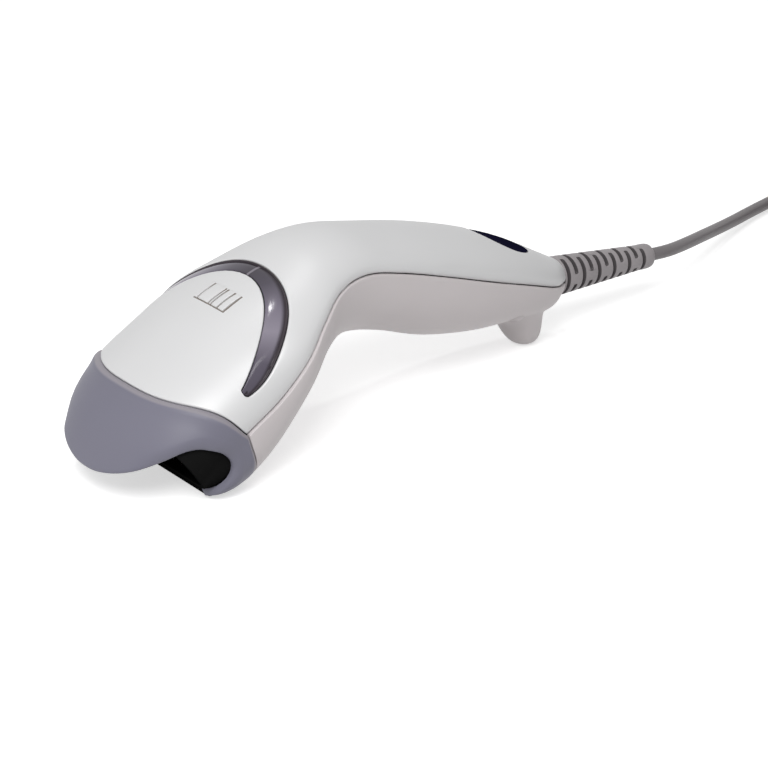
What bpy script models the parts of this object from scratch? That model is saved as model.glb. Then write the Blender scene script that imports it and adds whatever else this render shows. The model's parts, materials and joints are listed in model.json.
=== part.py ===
"""Handheld single-line barcode scanner with its cable.

Sizes are metres. Z points up, the nose points to -Y and the cable leaves at +Y. The scanner lies on
its chin and on the foot under its handle, with the table at z = 0 and the origin under its middle.

The housing is one lofted form. Stations run from the lip of the nose to the end of the handle, and
every station has a parting point, a crown above it and a belly below it. The shells, the bumper, the
press panel and the lens are all cut from that form, so they stay flush when a size changes.
"""

import math
from collections import namedtuple

import bmesh
import bpy
from mathutils import Matrix, Vector

MM = 0.001

# Driving sizes of the housing
BODY_LENGTH = 164.0 * MM
HEAD_LENGTH = 79.7 * MM
HEAD_WIDTH = 61.0 * MM
GRIP_WIDTH = 35.0 * MM
WALL = 2.0 * MM
PARTING_GAP = 0.3 * MM
SEAM_GAP = 0.4 * MM
FIT_GAP = 0.3 * MM
SEAT_GAP = 0.2 * MM

# Nose bumper and mouth
BUMPER_WALL = 2.2 * MM
FOOT_ANGLE = 50.0
SHROUD_WALL = 1.5 * MM
RIM_PLANE = -40.0 * MM
SHROUD_REAR = -30.5 * MM
WINDOW_PLANE = -37.6 * MM
WINDOW_THICK = 1.6 * MM

# Press panel and crescent lens, in the plane of the head datum
HEAD_TILT = 33.0
HEAD_DATUM_DISTANCE = 49.7 * MM
HEAD_DATUM_HEIGHT = 30.0 * MM
LENS_OUTER_SHARE = 0.931
LENS_INNER_SHARE = 0.931
LENS_OUTER_CENTRE = -13.0 * MM
LENS_OUTER_REACH = 29.4 * MM
LENS_OUTER_ROUND = 2.1
LENS_INNER_ROUND = 2.0
LENS_INNER_CENTRE = -30.0 * MM
LENS_INNER_REACH = 41.6 * MM
LENS_TIP = -15.5 * MM
LENS_RECESS = 0.3 * MM
LENS_THICK = 2.0 * MM
FLEX_LINE = -17.0 * MM
PANEL_GAP = 0.35 * MM
PANEL_POST_RADIUS = 2.2 * MM
GRIP_BAR_FRONT = -1.9 * MM
GRIP_BAR_LENGTH = 6.9 * MM
GRIP_BAR_HEIGHT = 0.5 * MM
GRIP_BAR_WIDTHS = (1.6 * MM, 5.0 * MM, 0.6 * MM, 2.5 * MM, 2.3 * MM)
GRIP_BAR_SPACE = 0.35 * MM

# Board under the press panel, heights above the head datum
PANEL_BOARD_TOP = 7.8 * MM
BOARD_THICK = 1.2 * MM
PANEL_BOARD_HALF = 16.5 * MM
PANEL_BOARD_FRONT = -8.0 * MM
PANEL_BOARD_WAIST = 12.0 * MM
PANEL_BOARD_TAIL_HALF = 10.5 * MM
PANEL_BOARD_REAR = 21.5 * MM
PANEL_SCREW_X = 7.0 * MM
PANEL_SCREW_Y = 18.5 * MM
SWITCH_Y = 1.0 * MM
SWITCH_SIZE = 6.0 * MM
SWITCH_HEIGHT = 3.2 * MM
PLUNGER_RADIUS = 1.7 * MM
PLUNGER_PROUD = 0.9 * MM
PLUNGER_SUNK = 1.5 * MM
PLUNGER_TRAVEL = 0.7 * MM
LAMP_X = 15.0 * MM
LAMP_Y = 8.0 * MM
LAMP_SIZE = (3.0 * MM, 1.6 * MM, 0.8 * MM)

# Scan engine, in the same datum
CHASSIS_HALF = 17.0 * MM
CHASSIS_FRONT = -27.0 * MM
CHASSIS_REAR = -2.0 * MM
CHASSIS_FLOOR = -9.0 * MM
CHASSIS_WALL = 1.5 * MM
CHASSIS_SIDE_TOP = -3.0 * MM
CHASSIS_FLOOR_PROUD = 0.3 * MM
CHASSIS_POST_X = 13.8 * MM
CHASSIS_POST_SIZE = (4.0 * MM, 3.0 * MM)
ENGINE_SCREW_X = 12.0 * MM
ENGINE_SCREW_Y = -24.5 * MM
OPTIC_Y = -16.0 * MM
OPTIC_HEIGHT = -3.0 * MM
LASER_RADIUS = 3.5 * MM
LASER_REAR = -15.0 * MM
LASER_FRONT = -7.4 * MM
CLAMP_REAR = -14.0 * MM
CLAMP_FRONT = -9.2 * MM
CLAMP_SIDE = 2.0 * MM
MIRROR_WIDTH = 11.0 * MM
MIRROR_HEIGHT = 11.0 * MM
MIRROR_THICK = 1.0 * MM
CARRIER_PLATE = 1.2 * MM
CARRIER_ARM_SIZE = (2.4 * MM, 3.0 * MM)
PIVOT_OFFSET = 3.9 * MM
PIVOT_RADIUS = 1.0 * MM
PIVOT_PLAY = 0.15 * MM
HUB_RADIUS = 2.5 * MM
MAGNET_ARM = 4.6 * MM
MAGNET_SIZE = 2.6 * MM
COIL_BLOCK = (6.0 * MM, 3.0 * MM, 6.0 * MM)

# Main board and cord socket in the handle, in the handle datum
HANDLE_DROP = 23.4 * MM
HANDLE_DATUM_HEIGHT = 41.0 * MM
MAIN_BOARD_FRONT = 8.0 * MM
MAIN_BOARD_SIDE = 5.0 * MM
MAIN_BOARD_END_SPACE = 36.5 * MM
MAIN_SCREW_EDGE = 4.0 * MM
MAIN_SCREW_INSET = 5.0 * MM
CHIP_SIZE = 12.0 * MM
CHIP_HEIGHT = 1.4 * MM
CHIP_OFFSET = 3.0 * MM
BEEPER_RADIUS = 5.5 * MM
BEEPER_HEIGHT = 4.5 * MM
SOCKET_SIZE = (12.0 * MM, 13.0 * MM, 8.5 * MM)
CONNECTOR_SIZE = (9.6 * MM, 11.0 * MM, 6.0 * MM)
RIBBON_WIDTH = 6.0 * MM
RIBBON_THICK = 0.4 * MM
RIBBON_X = 7.5 * MM

# Screws
BOSS_RADIUS = 3.0 * MM
SCREW_HEAD_RADIUS = 2.1 * MM
SCREW_HEAD_HEIGHT = 1.5 * MM
SCREW_SHAFT_RADIUS = 1.0 * MM
SCREW_PLAY = 0.3 * MM
SCREW_GRIP = 6.0 * MM
HOUSING_SCREW_SHELF = 5.0 * MM
BOARD_SCREW_LENGTH = 4.2 * MM
HANDLE_FRONT_SCREW_Y = 1.0 * MM
HANDLE_REAR_SCREW_SHARE = 0.45
HANDLE_REAR_SCREW_INSET = 22.5 * MM

# Badge inlay and foot
BADGE_INSET = 25.3 * MM
BADGE_LENGTH = 21.4 * MM
BADGE_WIDTH = 18.6 * MM
BADGE_POCKET = 0.8 * MM
BADGE_THICK = 0.5 * MM
FOOT_INSET = 10.4 * MM
FOOT_ROOT_RADIUS = 7.2 * MM
FOOT_TIP_RADIUS = 4.5 * MM
FOOT_FLAT_RADIUS = 2.6 * MM
FOOT_RAKE = 3.5 * MM

# Strain relief and cable
RELIEF_LENGTH = 41.5 * MM
RELIEF_TILT = -4.8
RELIEF_BASE_RADIUS = 6.1 * MM
RELIEF_TIP_RADIUS = 3.7 * MM
RELIEF_NECK_RADIUS = 2.9 * MM
RELIEF_FLANGE_RADIUS = 4.0 * MM
RELIEF_COLLAR = 4.0 * MM
RELIEF_ROWS = 11
RELIEF_FIRST_ROW = 1.3 * MM
RELIEF_ROW_PITCH = 3.4 * MM
RELIEF_SLOT = 1.4 * MM
RELIEF_WEB = 1.5 * MM
CABLE_RADIUS = 2.0 * MM
COIL_CENTRE_X = -2.0 * MM
COIL_BEHIND = 167.2 * MM
COIL_RADIUS = 24.0 * MM
COIL_PITCH = 5.0 * MM
COIL_TURNS = 3
COIL_LAYERS = 4
COIL_SHORT = 0.5
LOOP_POINTS = 24
TIE_THICK = 0.6 * MM
TIE_WIDTH = 7.0 * MM
TIE_ANGLE = 80.0

# USB plug
PLUG_GRIP_SIZE = (15.6 * MM, 27.0 * MM, 8.4 * MM)
PLUG_SHELL_SIZE = (12.0 * MM, 18.8 * MM, 4.5 * MM)
PLUG_SHELL_WALL = 0.35 * MM
PLUG_TONGUE_THICK = 1.9 * MM
PLUG_ENTRY = 6.0 * MM
PLUG_BEHIND = 120.2 * MM

# Mesh fineness
BODY_ROWS = 30
HALF_COLUMNS = 16
BUMPER_ROWS = 9
ROUND_SIDES = 20

LIP_Y = -BODY_LENGTH / 2
REAR_Y = BODY_LENGTH / 2
HEAD_HALF = HEAD_WIDTH / 2
GRIP_HALF = GRIP_WIDTH / 2
HANDLE_LENGTH = BODY_LENGTH - HEAD_LENGTH
HANDLE_TILT = -math.degrees(math.atan(HANDLE_DROP / HANDLE_LENGTH))
HEAD_END_Y = LIP_Y + HEAD_LENGTH
DATUM_POINT = Vector((0, LIP_Y + HEAD_DATUM_DISTANCE, HEAD_DATUM_HEIGHT))
HANDLE_POINT = Vector((0, HEAD_END_Y, HANDLE_DATUM_HEIGHT))
COIL_CENTRE = Vector((COIL_CENTRE_X, REAR_Y + COIL_BEHIND, 0.0))
MAIN_BOARD_WIDTH = GRIP_WIDTH - 2 * MAIN_BOARD_SIDE
LENS_OUTER_HALF = LENS_OUTER_SHARE * HEAD_HALF
LENS_INNER_HALF = LENS_INNER_SHARE * HEAD_HALF

Station = namedtuple(
    "Station", "y z crown_lean belly_lean half_width crown belly crown_round belly_round"
)


def head(distance, z, crown_lean, belly_lean, share, crown, belly, crown_round, belly_round):
    """A station of the head, by its distance behind the lip and its share of the head's width."""
    return Station(
        LIP_Y + distance * MM, z * MM, crown_lean, belly_lean, share * HEAD_HALF,
        crown * MM, belly * MM, crown_round, belly_round,
    )


def grip(along, z, crown_lean, belly_lean, share, crown, belly, crown_round, belly_round):
    """A station of the handle, by its share of the handle's length and of its width."""
    return Station(
        HEAD_END_Y + along * HANDLE_LENGTH, z * MM, crown_lean, belly_lean, share * GRIP_HALF,
        crown * MM, belly * MM, crown_round, belly_round,
    )


# Parting height, leans of crown and belly in degrees, width share, crown, belly, roundness
STATIONS = (
    head(17.7, 5.0, 82, -5, 0.910, 20.3, 6.0, 2.55, 3.0),
    head(23.2, 12.8, 71, 4, 0.980, 20.6, 13.5, 2.3, 4.4),
    head(29.9, 18.5, 61, 12, 1.000, 20.2, 18.8, 2.3, 3.4),
    head(40.7, 25.0, 49, 15, 1.000, 18.6, 20.5, 2.2, 2.8),
    head(50.6, 33.3, 40, 18, 0.980, 14.4, 19.0, 2.1, 2.6),
    head(59.1, 39.9, 27, 20, 0.840, 10.5, 16.8, 2.0, 2.5),
    head(68.9, 45.0, 12, 12, 0.669, 9.0, 19.0, 2.0, 2.5),
    grip(0.000, 46.1, 3, 6, 1.023, 8.8, 21.0, 2.0, 2.5),
    grip(0.150, 43.2, -3, 3, 1.000, 9.2, 21.5, 2.0, 2.4),
    grip(0.350, 37.7, -8, -3, 1.000, 10.6, 21.4, 2.1, 2.4),
    grip(0.570, 31.0, -12, -6, 0.949, 11.2, 18.3, 2.2, 2.4),
    grip(0.757, 25.3, -13, -8, 0.834, 9.9, 13.7, 2.2, 2.4),
    grip(0.915, 20.2, -12, -8, 0.640, 7.8, 9.8, 2.2, 2.3),
    grip(1.000, 18.5, -8, -6, 0.380, 5.8, 6.0, 2.1, 2.1),
)
SEAM = 1.97
CROWN_BOW = 0.72
BELLY_BOW = 0.36
TAIL = len(STATIONS) - 1.0

# Edge of the bumper round the mouth: angle on the section in degrees, station position
MOUTH_EDGE = (
    (90, -0.02), (75, 0.09), (60, 0.29), (48, 0.52), (39, 0.77), (32, 1.02),
    (24, 1.19), (15, 1.20), (8, 1.11), (2, 1.01), (-3, 0.96), (-7, 0.88),
    (-12, 0.78), (-18, 0.69), (-30, 0.65), (-90, 0.64),
)

# Free stretch of the cable, chosen by hand: x, distance behind the handle's end, height
CABLE_ROUTE = (
    (-1.4 * MM, 54.2 * MM, 13.6 * MM),
    (-5.0 * MM, 64.7 * MM, 12.0 * MM),
    (-10.0 * MM, 76.2 * MM, 9.8 * MM),
    (-15.8 * MM, 89.2 * MM, 7.2 * MM),
    (-21.4 * MM, 103.2 * MM, 5.0 * MM),
    (-26.6 * MM, 118.2 * MM, 3.5 * MM),
    (-30.4 * MM, 134.2 * MM, 2.9 * MM),
    (-32.0 * MM, 149.2 * MM, 2.9 * MM),
)

COLOURS = {
    "silver": ((0.74, 0.74, 0.75), 0.32, 0.15),
    "warm_grey": ((0.70, 0.67, 0.66), 0.45, 0.0),
    "bumper_grey": ((0.20, 0.20, 0.25), 0.6, 0.0),
    "black": ((0.010, 0.010, 0.011), 0.5, 0.0),
    "window": ((0.012, 0.006, 0.008), 0.08, 0.0),
    "smoke": ((0.10, 0.085, 0.12), 0.12, 0.0),
    "cable_grey": ((0.17, 0.16, 0.165), 0.55, 0.0),
    "board": ((0.02, 0.15, 0.06), 0.5, 0.0),
    "steel": ((0.60, 0.60, 0.62), 0.3, 1.0),
    "brass": ((0.70, 0.52, 0.22), 0.3, 1.0),
    "copper": ((0.70, 0.34, 0.18), 0.35, 1.0),
    "mirror": ((0.90, 0.90, 0.92), 0.03, 1.0),
    "cream": ((0.75, 0.72, 0.62), 0.5, 0.0),
    "ribbon": ((0.55, 0.26, 0.06), 0.4, 0.0),
}


def clear_scene():
    """Remove what the new file holds."""
    for item in list(bpy.data.objects):
        bpy.data.objects.remove(item)


# The lofted form of the body


def smooth_value(values, t):
    """Value at position t on a smooth curve through evenly spaced values."""
    last = len(values) - 2
    i = min(max(math.floor(t), 0), last)
    f = t - i
    b, c = values[i], values[i + 1]
    a = values[i - 1] if i > 0 else 2 * b - c
    d = values[i + 2] if i < last else 2 * c - b
    square = 2 * a - 5 * b + 4 * c - d
    cube = 3 * b - a - 3 * c + d
    return 0.5 * (2 * b + (c - a) * f + square * f ** 2 + cube * f ** 3)


COLUMNS = {name: [getattr(s, name) for s in STATIONS] for name in Station._fields}


def section(t):
    """The body's section at station position t."""
    return Station(*(smooth_value(COLUMNS[name], t) for name in Station._fields))


def skin(t, degrees, inset=0.0, lift=0.0):
    """Point of the body's skin, by station position and angle, 0 at the +X parting line, 90 on the crown."""
    s = section(t)
    angle = math.radians(degrees)
    cosine, sine = math.cos(angle), math.sin(angle)
    above = sine >= 0
    lean = math.radians(s.crown_lean if above else s.belly_lean)
    power = 2 / (s.crown_round if above else s.belly_round)
    height = (s.crown if above else s.belly) - inset
    x = (s.half_width - inset) * math.copysign(abs(cosine) ** power, cosine)
    h = height * math.copysign(abs(sine) ** power, sine) + lift
    return Vector((x, s.y - math.sin(lean) * h, max(s.z + math.cos(lean) * h, inset)))


def seam_at(degrees):
    """Station position of the bumper seam at an angle: it bows back on both flanks."""
    angle = math.radians(degrees)
    bow = CROWN_BOW if math.sin(angle) > 0 else BELLY_BOW
    return SEAM + bow * abs(math.sin(angle) * math.cos(angle) ** 3)


def spread(first, last, count):
    """Evenly spaced values from first to last."""
    return [first + (last - first) * k / (count - 1) for k in range(count)]


HEAD_MATRIX = Matrix.Translation(DATUM_POINT) @ Matrix.Rotation(math.radians(HEAD_TILT), 4, "X")
HEAD_INVERSE = HEAD_MATRIX.inverted()
HANDLE_MATRIX = Matrix.Translation(HANDLE_POINT) @ Matrix.Rotation(math.radians(HANDLE_TILT), 4, "X")


def solve(function, low, high, target):
    """Where a rising function reaches the target, by halving."""
    for _ in range(40):
        middle = (low + high) / 2
        if function(middle) < target:
            low = middle
        else:
            high = middle
    return (low + high) / 2


def crown_over(x, y):
    """Point of the crown over x, y of the head datum, in that datum."""

    def at(t):
        s = section(t)
        share = min(abs(x) / s.half_width, 1.0)
        degrees = math.degrees(math.acos(share ** (s.crown_round / 2)))
        return HEAD_INVERSE @ skin(t, degrees)

    t = solve(lambda value: at(value).y, 0.0, TAIL - 6, y)
    return Vector((x, y, at(t).z))


def plane_ring(plane, inset, angles):
    """Ring of the skin cut by a plane of constant y of the head datum."""
    ring = []
    for degrees in angles:
        t = solve(lambda value: (HEAD_INVERSE @ skin(value, degrees, inset)).y, -0.3, 4.0, plane)
        ring.append(skin(t, degrees, inset))
    return ring


# Meshes and objects


def make_object(name, points, faces, colour=None):
    """Closed mesh object with its normals outwards. Without a colour it is a hidden cutter."""
    mesh = bpy.data.meshes.new(name)
    mesh.from_pydata([tuple(p) for p in points], [], faces)
    shape = bmesh.new()
    shape.from_mesh(mesh)
    bmesh.ops.recalc_face_normals(shape, faces=shape.faces)
    shape.to_mesh(mesh)
    shape.free()
    item = bpy.data.objects.new(name, mesh)
    bpy.context.collection.objects.link(item)
    if colour is None:
        item.hide_render = True
        item.display_type = "WIRE"
    else:
        paint(item, colour)
    return item


def paint(item, colour):
    """Give the object a material of its own and smooth rounds."""
    base, rough, metal = COLOURS[colour]
    material = bpy.data.materials.new(item.name)
    material.use_nodes = True
    shader = material.node_tree.nodes["Principled BSDF"]
    shader.inputs["Base Color"].default_value = (*base, 1.0)
    shader.inputs["Roughness"].default_value = rough
    shader.inputs["Metallic"].default_value = metal
    item.data.materials.append(material)
    if item.type == "MESH":
        item.data.shade_smooth()
        item.data.set_sharp_from_angle(angle=math.radians(40))


def boolean(item, cutter, operation="DIFFERENCE"):
    """Cut, join or intersect the object with a cutter that stays in the file."""
    step = item.modifiers.new(cutter.name, "BOOLEAN")
    step.operation = operation
    step.object = cutter
    step.solver = "EXACT"


def loft(name, rings, colour=None, closed=True):
    """Solid through rings of points, capped at both ends. Open rings need a closed=False pair of walls."""
    count = len(rings[0])
    points = [p for ring in rings for p in ring]
    faces = []
    for r in range(len(rings) - 1):
        for k in range(count if closed else count - 1):
            a, b = r * count + k, r * count + (k + 1) % count
            faces.append((a, b, b + count, a + count))
    first = list(range(count))
    faces.append(tuple(reversed(first)))
    faces.append(tuple((len(rings) - 1) * count + k for k in first))
    return make_object(name, points, faces, colour)


def wall(name, outer, inner, colour=None, ring=False):
    """Solid wall between an outer and an inner grid of the same shape, open or closed round its columns."""
    rows, columns = len(outer), len(outer[0])
    points = [p for row in outer for p in row] + [p for row in inner for p in row]
    under = rows * columns
    faces = []
    for r in range(rows - 1):
        for c in range(columns if ring else columns - 1):
            a, b = r * columns + c, r * columns + (c + 1) % columns
            quad = (a, b, b + columns, a + columns)
            faces.append(quad)
            faces.append(tuple(reversed([k + under for k in quad])))
    for r in (0, rows - 1):
        for c in range(columns if ring else columns - 1):
            a, b = r * columns + c, r * columns + (c + 1) % columns
            faces.append((a, b, b + under, a + under))
    if not ring:
        for c in (0, columns - 1):
            for r in range(rows - 1):
                a, b = r * columns + c, (r + 1) * columns + c
                faces.append((a, b, b + under, a + under))
    return make_object(name, points, faces, colour)


def prism(name, outline, low, high, matrix=Matrix(), colour=None):
    """Outline in the XY plane of a datum, raised from low to high along its Z."""
    rings = [[matrix @ Vector((x, y, z)) for x, y in outline] for z in (low, high)]
    return loft(name, rings, colour)


def box(name, low, high, matrix=Matrix(), colour=None):
    """Box between two corners in a datum."""
    outline = [(low[0], low[1]), (high[0], low[1]), (high[0], high[1]), (low[0], high[1])]
    return prism(name, outline, low[2], high[2], matrix, colour)


def disc(radius, sides=ROUND_SIDES, x=0.0, y=0.0):
    """Outline of a circle."""
    return [
        (x + radius * math.cos(math.tau * k / sides), y + radius * math.sin(math.tau * k / sides))
        for k in range(sides)
    ]


def turned(name, profile, matrix=Matrix(), colour=None, sides=ROUND_SIDES):
    """Solid of rings round the datum's Z, from (height, radius) pairs."""
    rings = [[matrix @ Vector((x, y, z)) for x, y in disc(radius, sides)] for z, radius in profile]
    return loft(name, rings, colour)


def at_point(x, y, z):
    """Datum moved to a point."""
    return Matrix.Translation(Vector((x, y, z)))


def set_origin(item, point):
    """Move the object's origin and leave its shape where it is."""
    item.data.transform(Matrix.Translation(-point))
    item.location = point


# Housing shells


def half_grid(inset, lift, first, last, rows, start):
    """Grid of half the skin, from the parting line at the start angle round to the other side.

    With no first position the grid starts at the bumper seam.
    """
    grid = []
    for share in spread(0.0, 1.0, rows):
        row = []
        for degrees in spread(start, start + 180.0, HALF_COLUMNS + 1):
            begin = seam_at(degrees) if first is None else first
            row.append(skin(begin + (last - begin) * share, degrees, inset, lift))
        grid.append(row)
    return grid


def crown_slab(name, outer_inset, thick, colour=None, first=None, last=TAIL, rows=BODY_ROWS):
    """Slab of the upper skin, from an inset below it to an inset plus thickness."""
    gap = PARTING_GAP / 2
    outer = half_grid(outer_inset, gap, first, last, rows, 0.0)
    inner = half_grid(outer_inset + thick, gap, first, last, rows, 0.0)
    return wall(name, outer, inner, colour)


def arch_outline(half_width, centre, reach, roundness, end, count=36):
    """Rounded arch in the head datum, from its end at +X over the top to its end at -X."""
    power = 2 / roundness
    foot = (end - centre) / reach
    start = math.copysign(math.asin(min(abs(foot) ** (roundness / 2), 1.0)), foot)
    outline = []
    for angle in spread(start, math.pi - start, count):
        cosine, sine = math.cos(angle), math.sin(angle)
        x = half_width * math.copysign(abs(cosine) ** power, cosine)
        y = centre + reach * math.copysign(abs(sine) ** power, sine)
        outline.append((x, y))
    return outline


def outer_arch(grow, end):
    """Outer edge of the crescent, grown by a gap."""
    half, reach = LENS_OUTER_HALF + grow, LENS_OUTER_REACH + grow
    return arch_outline(half, LENS_OUTER_CENTRE, reach, LENS_OUTER_ROUND, end)


def inner_arch(grow, end):
    """Inner edge of the crescent, grown by a gap."""
    half, reach = LENS_INNER_HALF + grow, LENS_INNER_REACH + grow
    return arch_outline(half, LENS_INNER_CENTRE, reach, LENS_INNER_ROUND, end)


OPENING_LOW = 6.6 * MM
LENS_LOW = 7.0 * MM
PRISM_HIGH = 30.0 * MM


def badge_outline(grow):
    """Oval of the badge inlay in the handle datum."""
    middle = (REAR_Y - BADGE_INSET - HEAD_END_Y) / math.cos(math.radians(HANDLE_TILT))
    half_x, half_y = BADGE_WIDTH / 2 + grow, BADGE_LENGTH / 2 + grow
    return [(half_x * x, middle + half_y * y) for x, y in disc(1.0, 28)]


def badge_slab(name, grow, top, bottom, colour=None):
    """Oval piece of the skin between two insets."""
    piece = crown_slab(name, top, bottom - top, colour, 8.0, TAIL, 16)
    cutter = prism(name + "_oval", badge_outline(grow), 0.0, 40.0 * MM, HANDLE_MATRIX)
    boolean(piece, cutter, "INTERSECT")
    return piece


def housing_screws():
    """Places of the housing screws: x, y, station position there."""
    front = HEAD_END_Y + HANDLE_FRONT_SCREW_Y
    rear = REAR_Y - HANDLE_REAR_SCREW_INSET
    side = HANDLE_REAR_SCREW_SHARE * GRIP_HALF
    places = ((0.0, front), (side, rear), (-side, rear))
    return [(x, y, solve(lambda t: section(t).y, SEAM, TAIL, y)) for x, y in places]


def belly_height(x, t):
    """Height of the lower skin at x on the section at station position t."""
    s = section(t)
    share = min(abs(x) / s.half_width, 1.0)
    return s.z - s.belly * (1 - share ** s.belly_round) ** (1 / s.belly_round)


def boss_set(name, bosses):
    """Round bosses held inside the skin, as one hidden body for each boss."""
    made = []
    for number, (radius, low, high, matrix) in enumerate(bosses):
        boss = turned(f"{name}_{number}", ((low, radius), (high, radius)), matrix, None, 16)
        trim = body_core(f"{name}_{number}_trim", WALL * 0.5)
        boolean(boss, trim, "INTERSECT")
        made.append(boss)
    return made


def body_core(name, inset):
    """The whole body form, inset, as one hidden solid."""
    angles = spread(0.0, 360.0, 2 * HALF_COLUMNS + 1)[:-1]
    rings = [[skin(t, a, inset) for a in angles] for t in spread(SEAM, TAIL - 0.1, BODY_ROWS)]
    return loft(name, rings)


def build_top_shell():
    """Upper shell with the opening for panel and lens, the badge pocket and screw posts."""
    shell = crown_slab("top_shell", 0.0, WALL, "silver")
    opening = outer_arch(FIT_GAP, FLEX_LINE)
    boolean(shell, prism("panel_opening", opening, OPENING_LOW, PRISM_HIGH, HEAD_MATRIX))
    posts = []
    holes = []
    for x, y, t in housing_screws():
        level = section(t).z + PARTING_GAP
        matrix = at_point(x, y, level)
        posts.append((BOSS_RADIUS, 0.0, 30 * MM, matrix))
        holes.append((matrix, SCREW_GRIP + 2 * SCREW_PLAY))
    for side in (1, -1):
        place = HEAD_MATRIX @ at_point(side * PANEL_SCREW_X, PANEL_SCREW_Y, PANEL_BOARD_TOP + SEAT_GAP)
        posts.append((BOSS_RADIUS * 0.8, 0.0, 12 * MM, place))
        holes.append((place, BOARD_SCREW_LENGTH - BOARD_THICK + SCREW_PLAY))
    for boss in boss_set("top_post", posts):
        boolean(shell, boss, "UNION")
    for number, (matrix, depth) in enumerate(holes):
        radius = SCREW_SHAFT_RADIUS + SCREW_PLAY
        profile = ((-1 * MM, radius), (depth, radius))
        boolean(shell, turned(f"pilot_{number}", profile, matrix, None, 12))
    boolean(shell, badge_slab("badge_pocket", FIT_GAP, -1 * MM, BADGE_POCKET))
    return shell


def build_bottom_shell():
    """Lower shell: belly of the head, grip, foot under the rear, bosses for screws and boards."""
    gap = -PARTING_GAP / 2
    outer = half_grid(0.0, gap, None, TAIL, BODY_ROWS, 180.0)
    inner = half_grid(WALL, gap, None, TAIL, BODY_ROWS, 180.0)
    shell = wall("bottom_shell", outer, inner, "warm_grey")
    boolean(shell, build_foot(), "UNION")
    bosses = []
    for x, y, t in housing_screws():
        bosses.append((BOSS_RADIUS, -40 * MM, -PARTING_GAP, at_point(x, y, section(t).z)))
    for x in (ENGINE_SCREW_X, -ENGINE_SCREW_X):
        top = CHASSIS_FLOOR - CHASSIS_WALL - SEAT_GAP
        bosses.append((BOSS_RADIUS * 0.8, -14 * MM, 0.0, HEAD_MATRIX @ at_point(x, ENGINE_SCREW_Y, top)))
    for x, y in main_board_screws():
        top = -BOARD_THICK - SEAT_GAP
        bosses.append((BOSS_RADIUS * 0.8, -30 * MM, 0.0, HANDLE_MATRIX @ at_point(x, y, top)))
    for boss in boss_set("bottom_boss", bosses):
        boolean(shell, boss, "UNION")
    for number, (x, y, t) in enumerate(housing_screws()):
        matrix = at_point(x, y, 0.0)
        shelf = belly_height(x, t) + HOUSING_SCREW_SHELF
        head_hole = SCREW_HEAD_RADIUS + SCREW_PLAY
        shaft_hole = SCREW_SHAFT_RADIUS + SCREW_PLAY
        profile = ((-1 * MM, head_hole), (shelf, head_hole), (shelf, shaft_hole), (60 * MM, shaft_hole))
        boolean(shell, turned(f"screw_well_{number}", profile, matrix, None, 16))
    places = [(HEAD_MATRIX, x, ENGINE_SCREW_Y, CHASSIS_FLOOR) for x in (ENGINE_SCREW_X, -ENGINE_SCREW_X)]
    places += [(HANDLE_MATRIX, x, y, 0.0) for x, y in main_board_screws()]
    for number, (datum, x, y, top) in enumerate(places):
        radius = SCREW_SHAFT_RADIUS + SCREW_PLAY
        profile = ((-BOARD_SCREW_LENGTH - SCREW_PLAY, radius), (2 * MM, radius))
        boolean(shell, turned(f"board_pilot_{number}", profile, datum @ at_point(x, y, top), None, 12))
    return shell


def build_foot():
    """Tapered foot under the rear of the handle, raked, with a small flat to stand on."""
    y = REAR_Y - FOOT_INSET
    t = solve(lambda value: section(value).y, SEAM, TAIL, y)
    root = belly_height(0.0, t) + WALL * 0.8
    profile = (
        (0.0, FOOT_FLAT_RADIUS),
        (0.06 * root, 0.84 * FOOT_TIP_RADIUS),
        (0.18 * root, FOOT_TIP_RADIUS),
        (0.60 * root, (FOOT_TIP_RADIUS + FOOT_ROOT_RADIUS) / 2),
        (root, FOOT_ROOT_RADIUS),
    )
    rings = []
    for z, radius in profile:
        middle = y - FOOT_RAKE * z / root
        rings.append([Vector((px, middle + py, z)) for px, py in disc(radius)])
    return loft("foot", rings)


def build_badge():
    """Plain oval inlay on the rear of the handle."""
    return badge_slab("badge_plate", 0.0, 0.1 * MM, 0.1 * MM + BADGE_THICK, "black")


# Nose


def mouth_edge(degrees):
    """Station position of the bumper's mouth edge at an angle, alike on both sides."""
    angle = degrees if degrees <= 90 else 180 - degrees
    for (high, first), (low, last) in zip(MOUTH_EDGE, MOUTH_EDGE[1:]):
        if angle >= low:
            share = (high - angle) / (high - low)
            return first + (last - first) * share
    return MOUTH_EDGE[-1][1]


def seam_step():
    """The seam's gap as a step of station position."""
    return SEAM_GAP / (section(SEAM + 0.5).y - section(SEAM - 0.5).y)


def build_nose_bumper():
    """Soft bumper: hood over the mouth and a cheek on either side that turns under the chin."""
    angles = spread(-FOOT_ANGLE, 180.0 + FOOT_ANGLE, 2 * HALF_COLUMNS + 9)
    outer, inner = [], []
    for share in spread(0.0, 1.0, BUMPER_ROWS):
        places = []
        for a in angles:
            front = mouth_edge(a)
            places.append((front + (seam_at(a) - seam_step() - front) * share, a))
        outer.append([skin(t, a) for t, a in places])
        inner.append([skin(t, a, BUMPER_WALL) for t, a in places])
    return wall("nose_bumper", outer, inner, "bumper_grey")


def build_window_shroud():
    """Black frame inside the mouth: a tunnel behind the bumper and the chin between its cheeks."""
    angles = spread(0.0, 360.0, 41)[:-1]
    outside = BUMPER_WALL + FIT_GAP
    planes = spread(RIM_PLANE, SHROUD_REAR, 4)
    outer = [plane_ring(p, outside, angles) for p in planes]
    inner = [plane_ring(p, outside + SHROUD_WALL, angles) for p in planes]
    shroud = wall("window_shroud", outer, inner, "black", ring=True)
    boolean(shroud, build_chin(outside + SHROUD_WALL * 0.6), "UNION")
    return shroud


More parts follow.
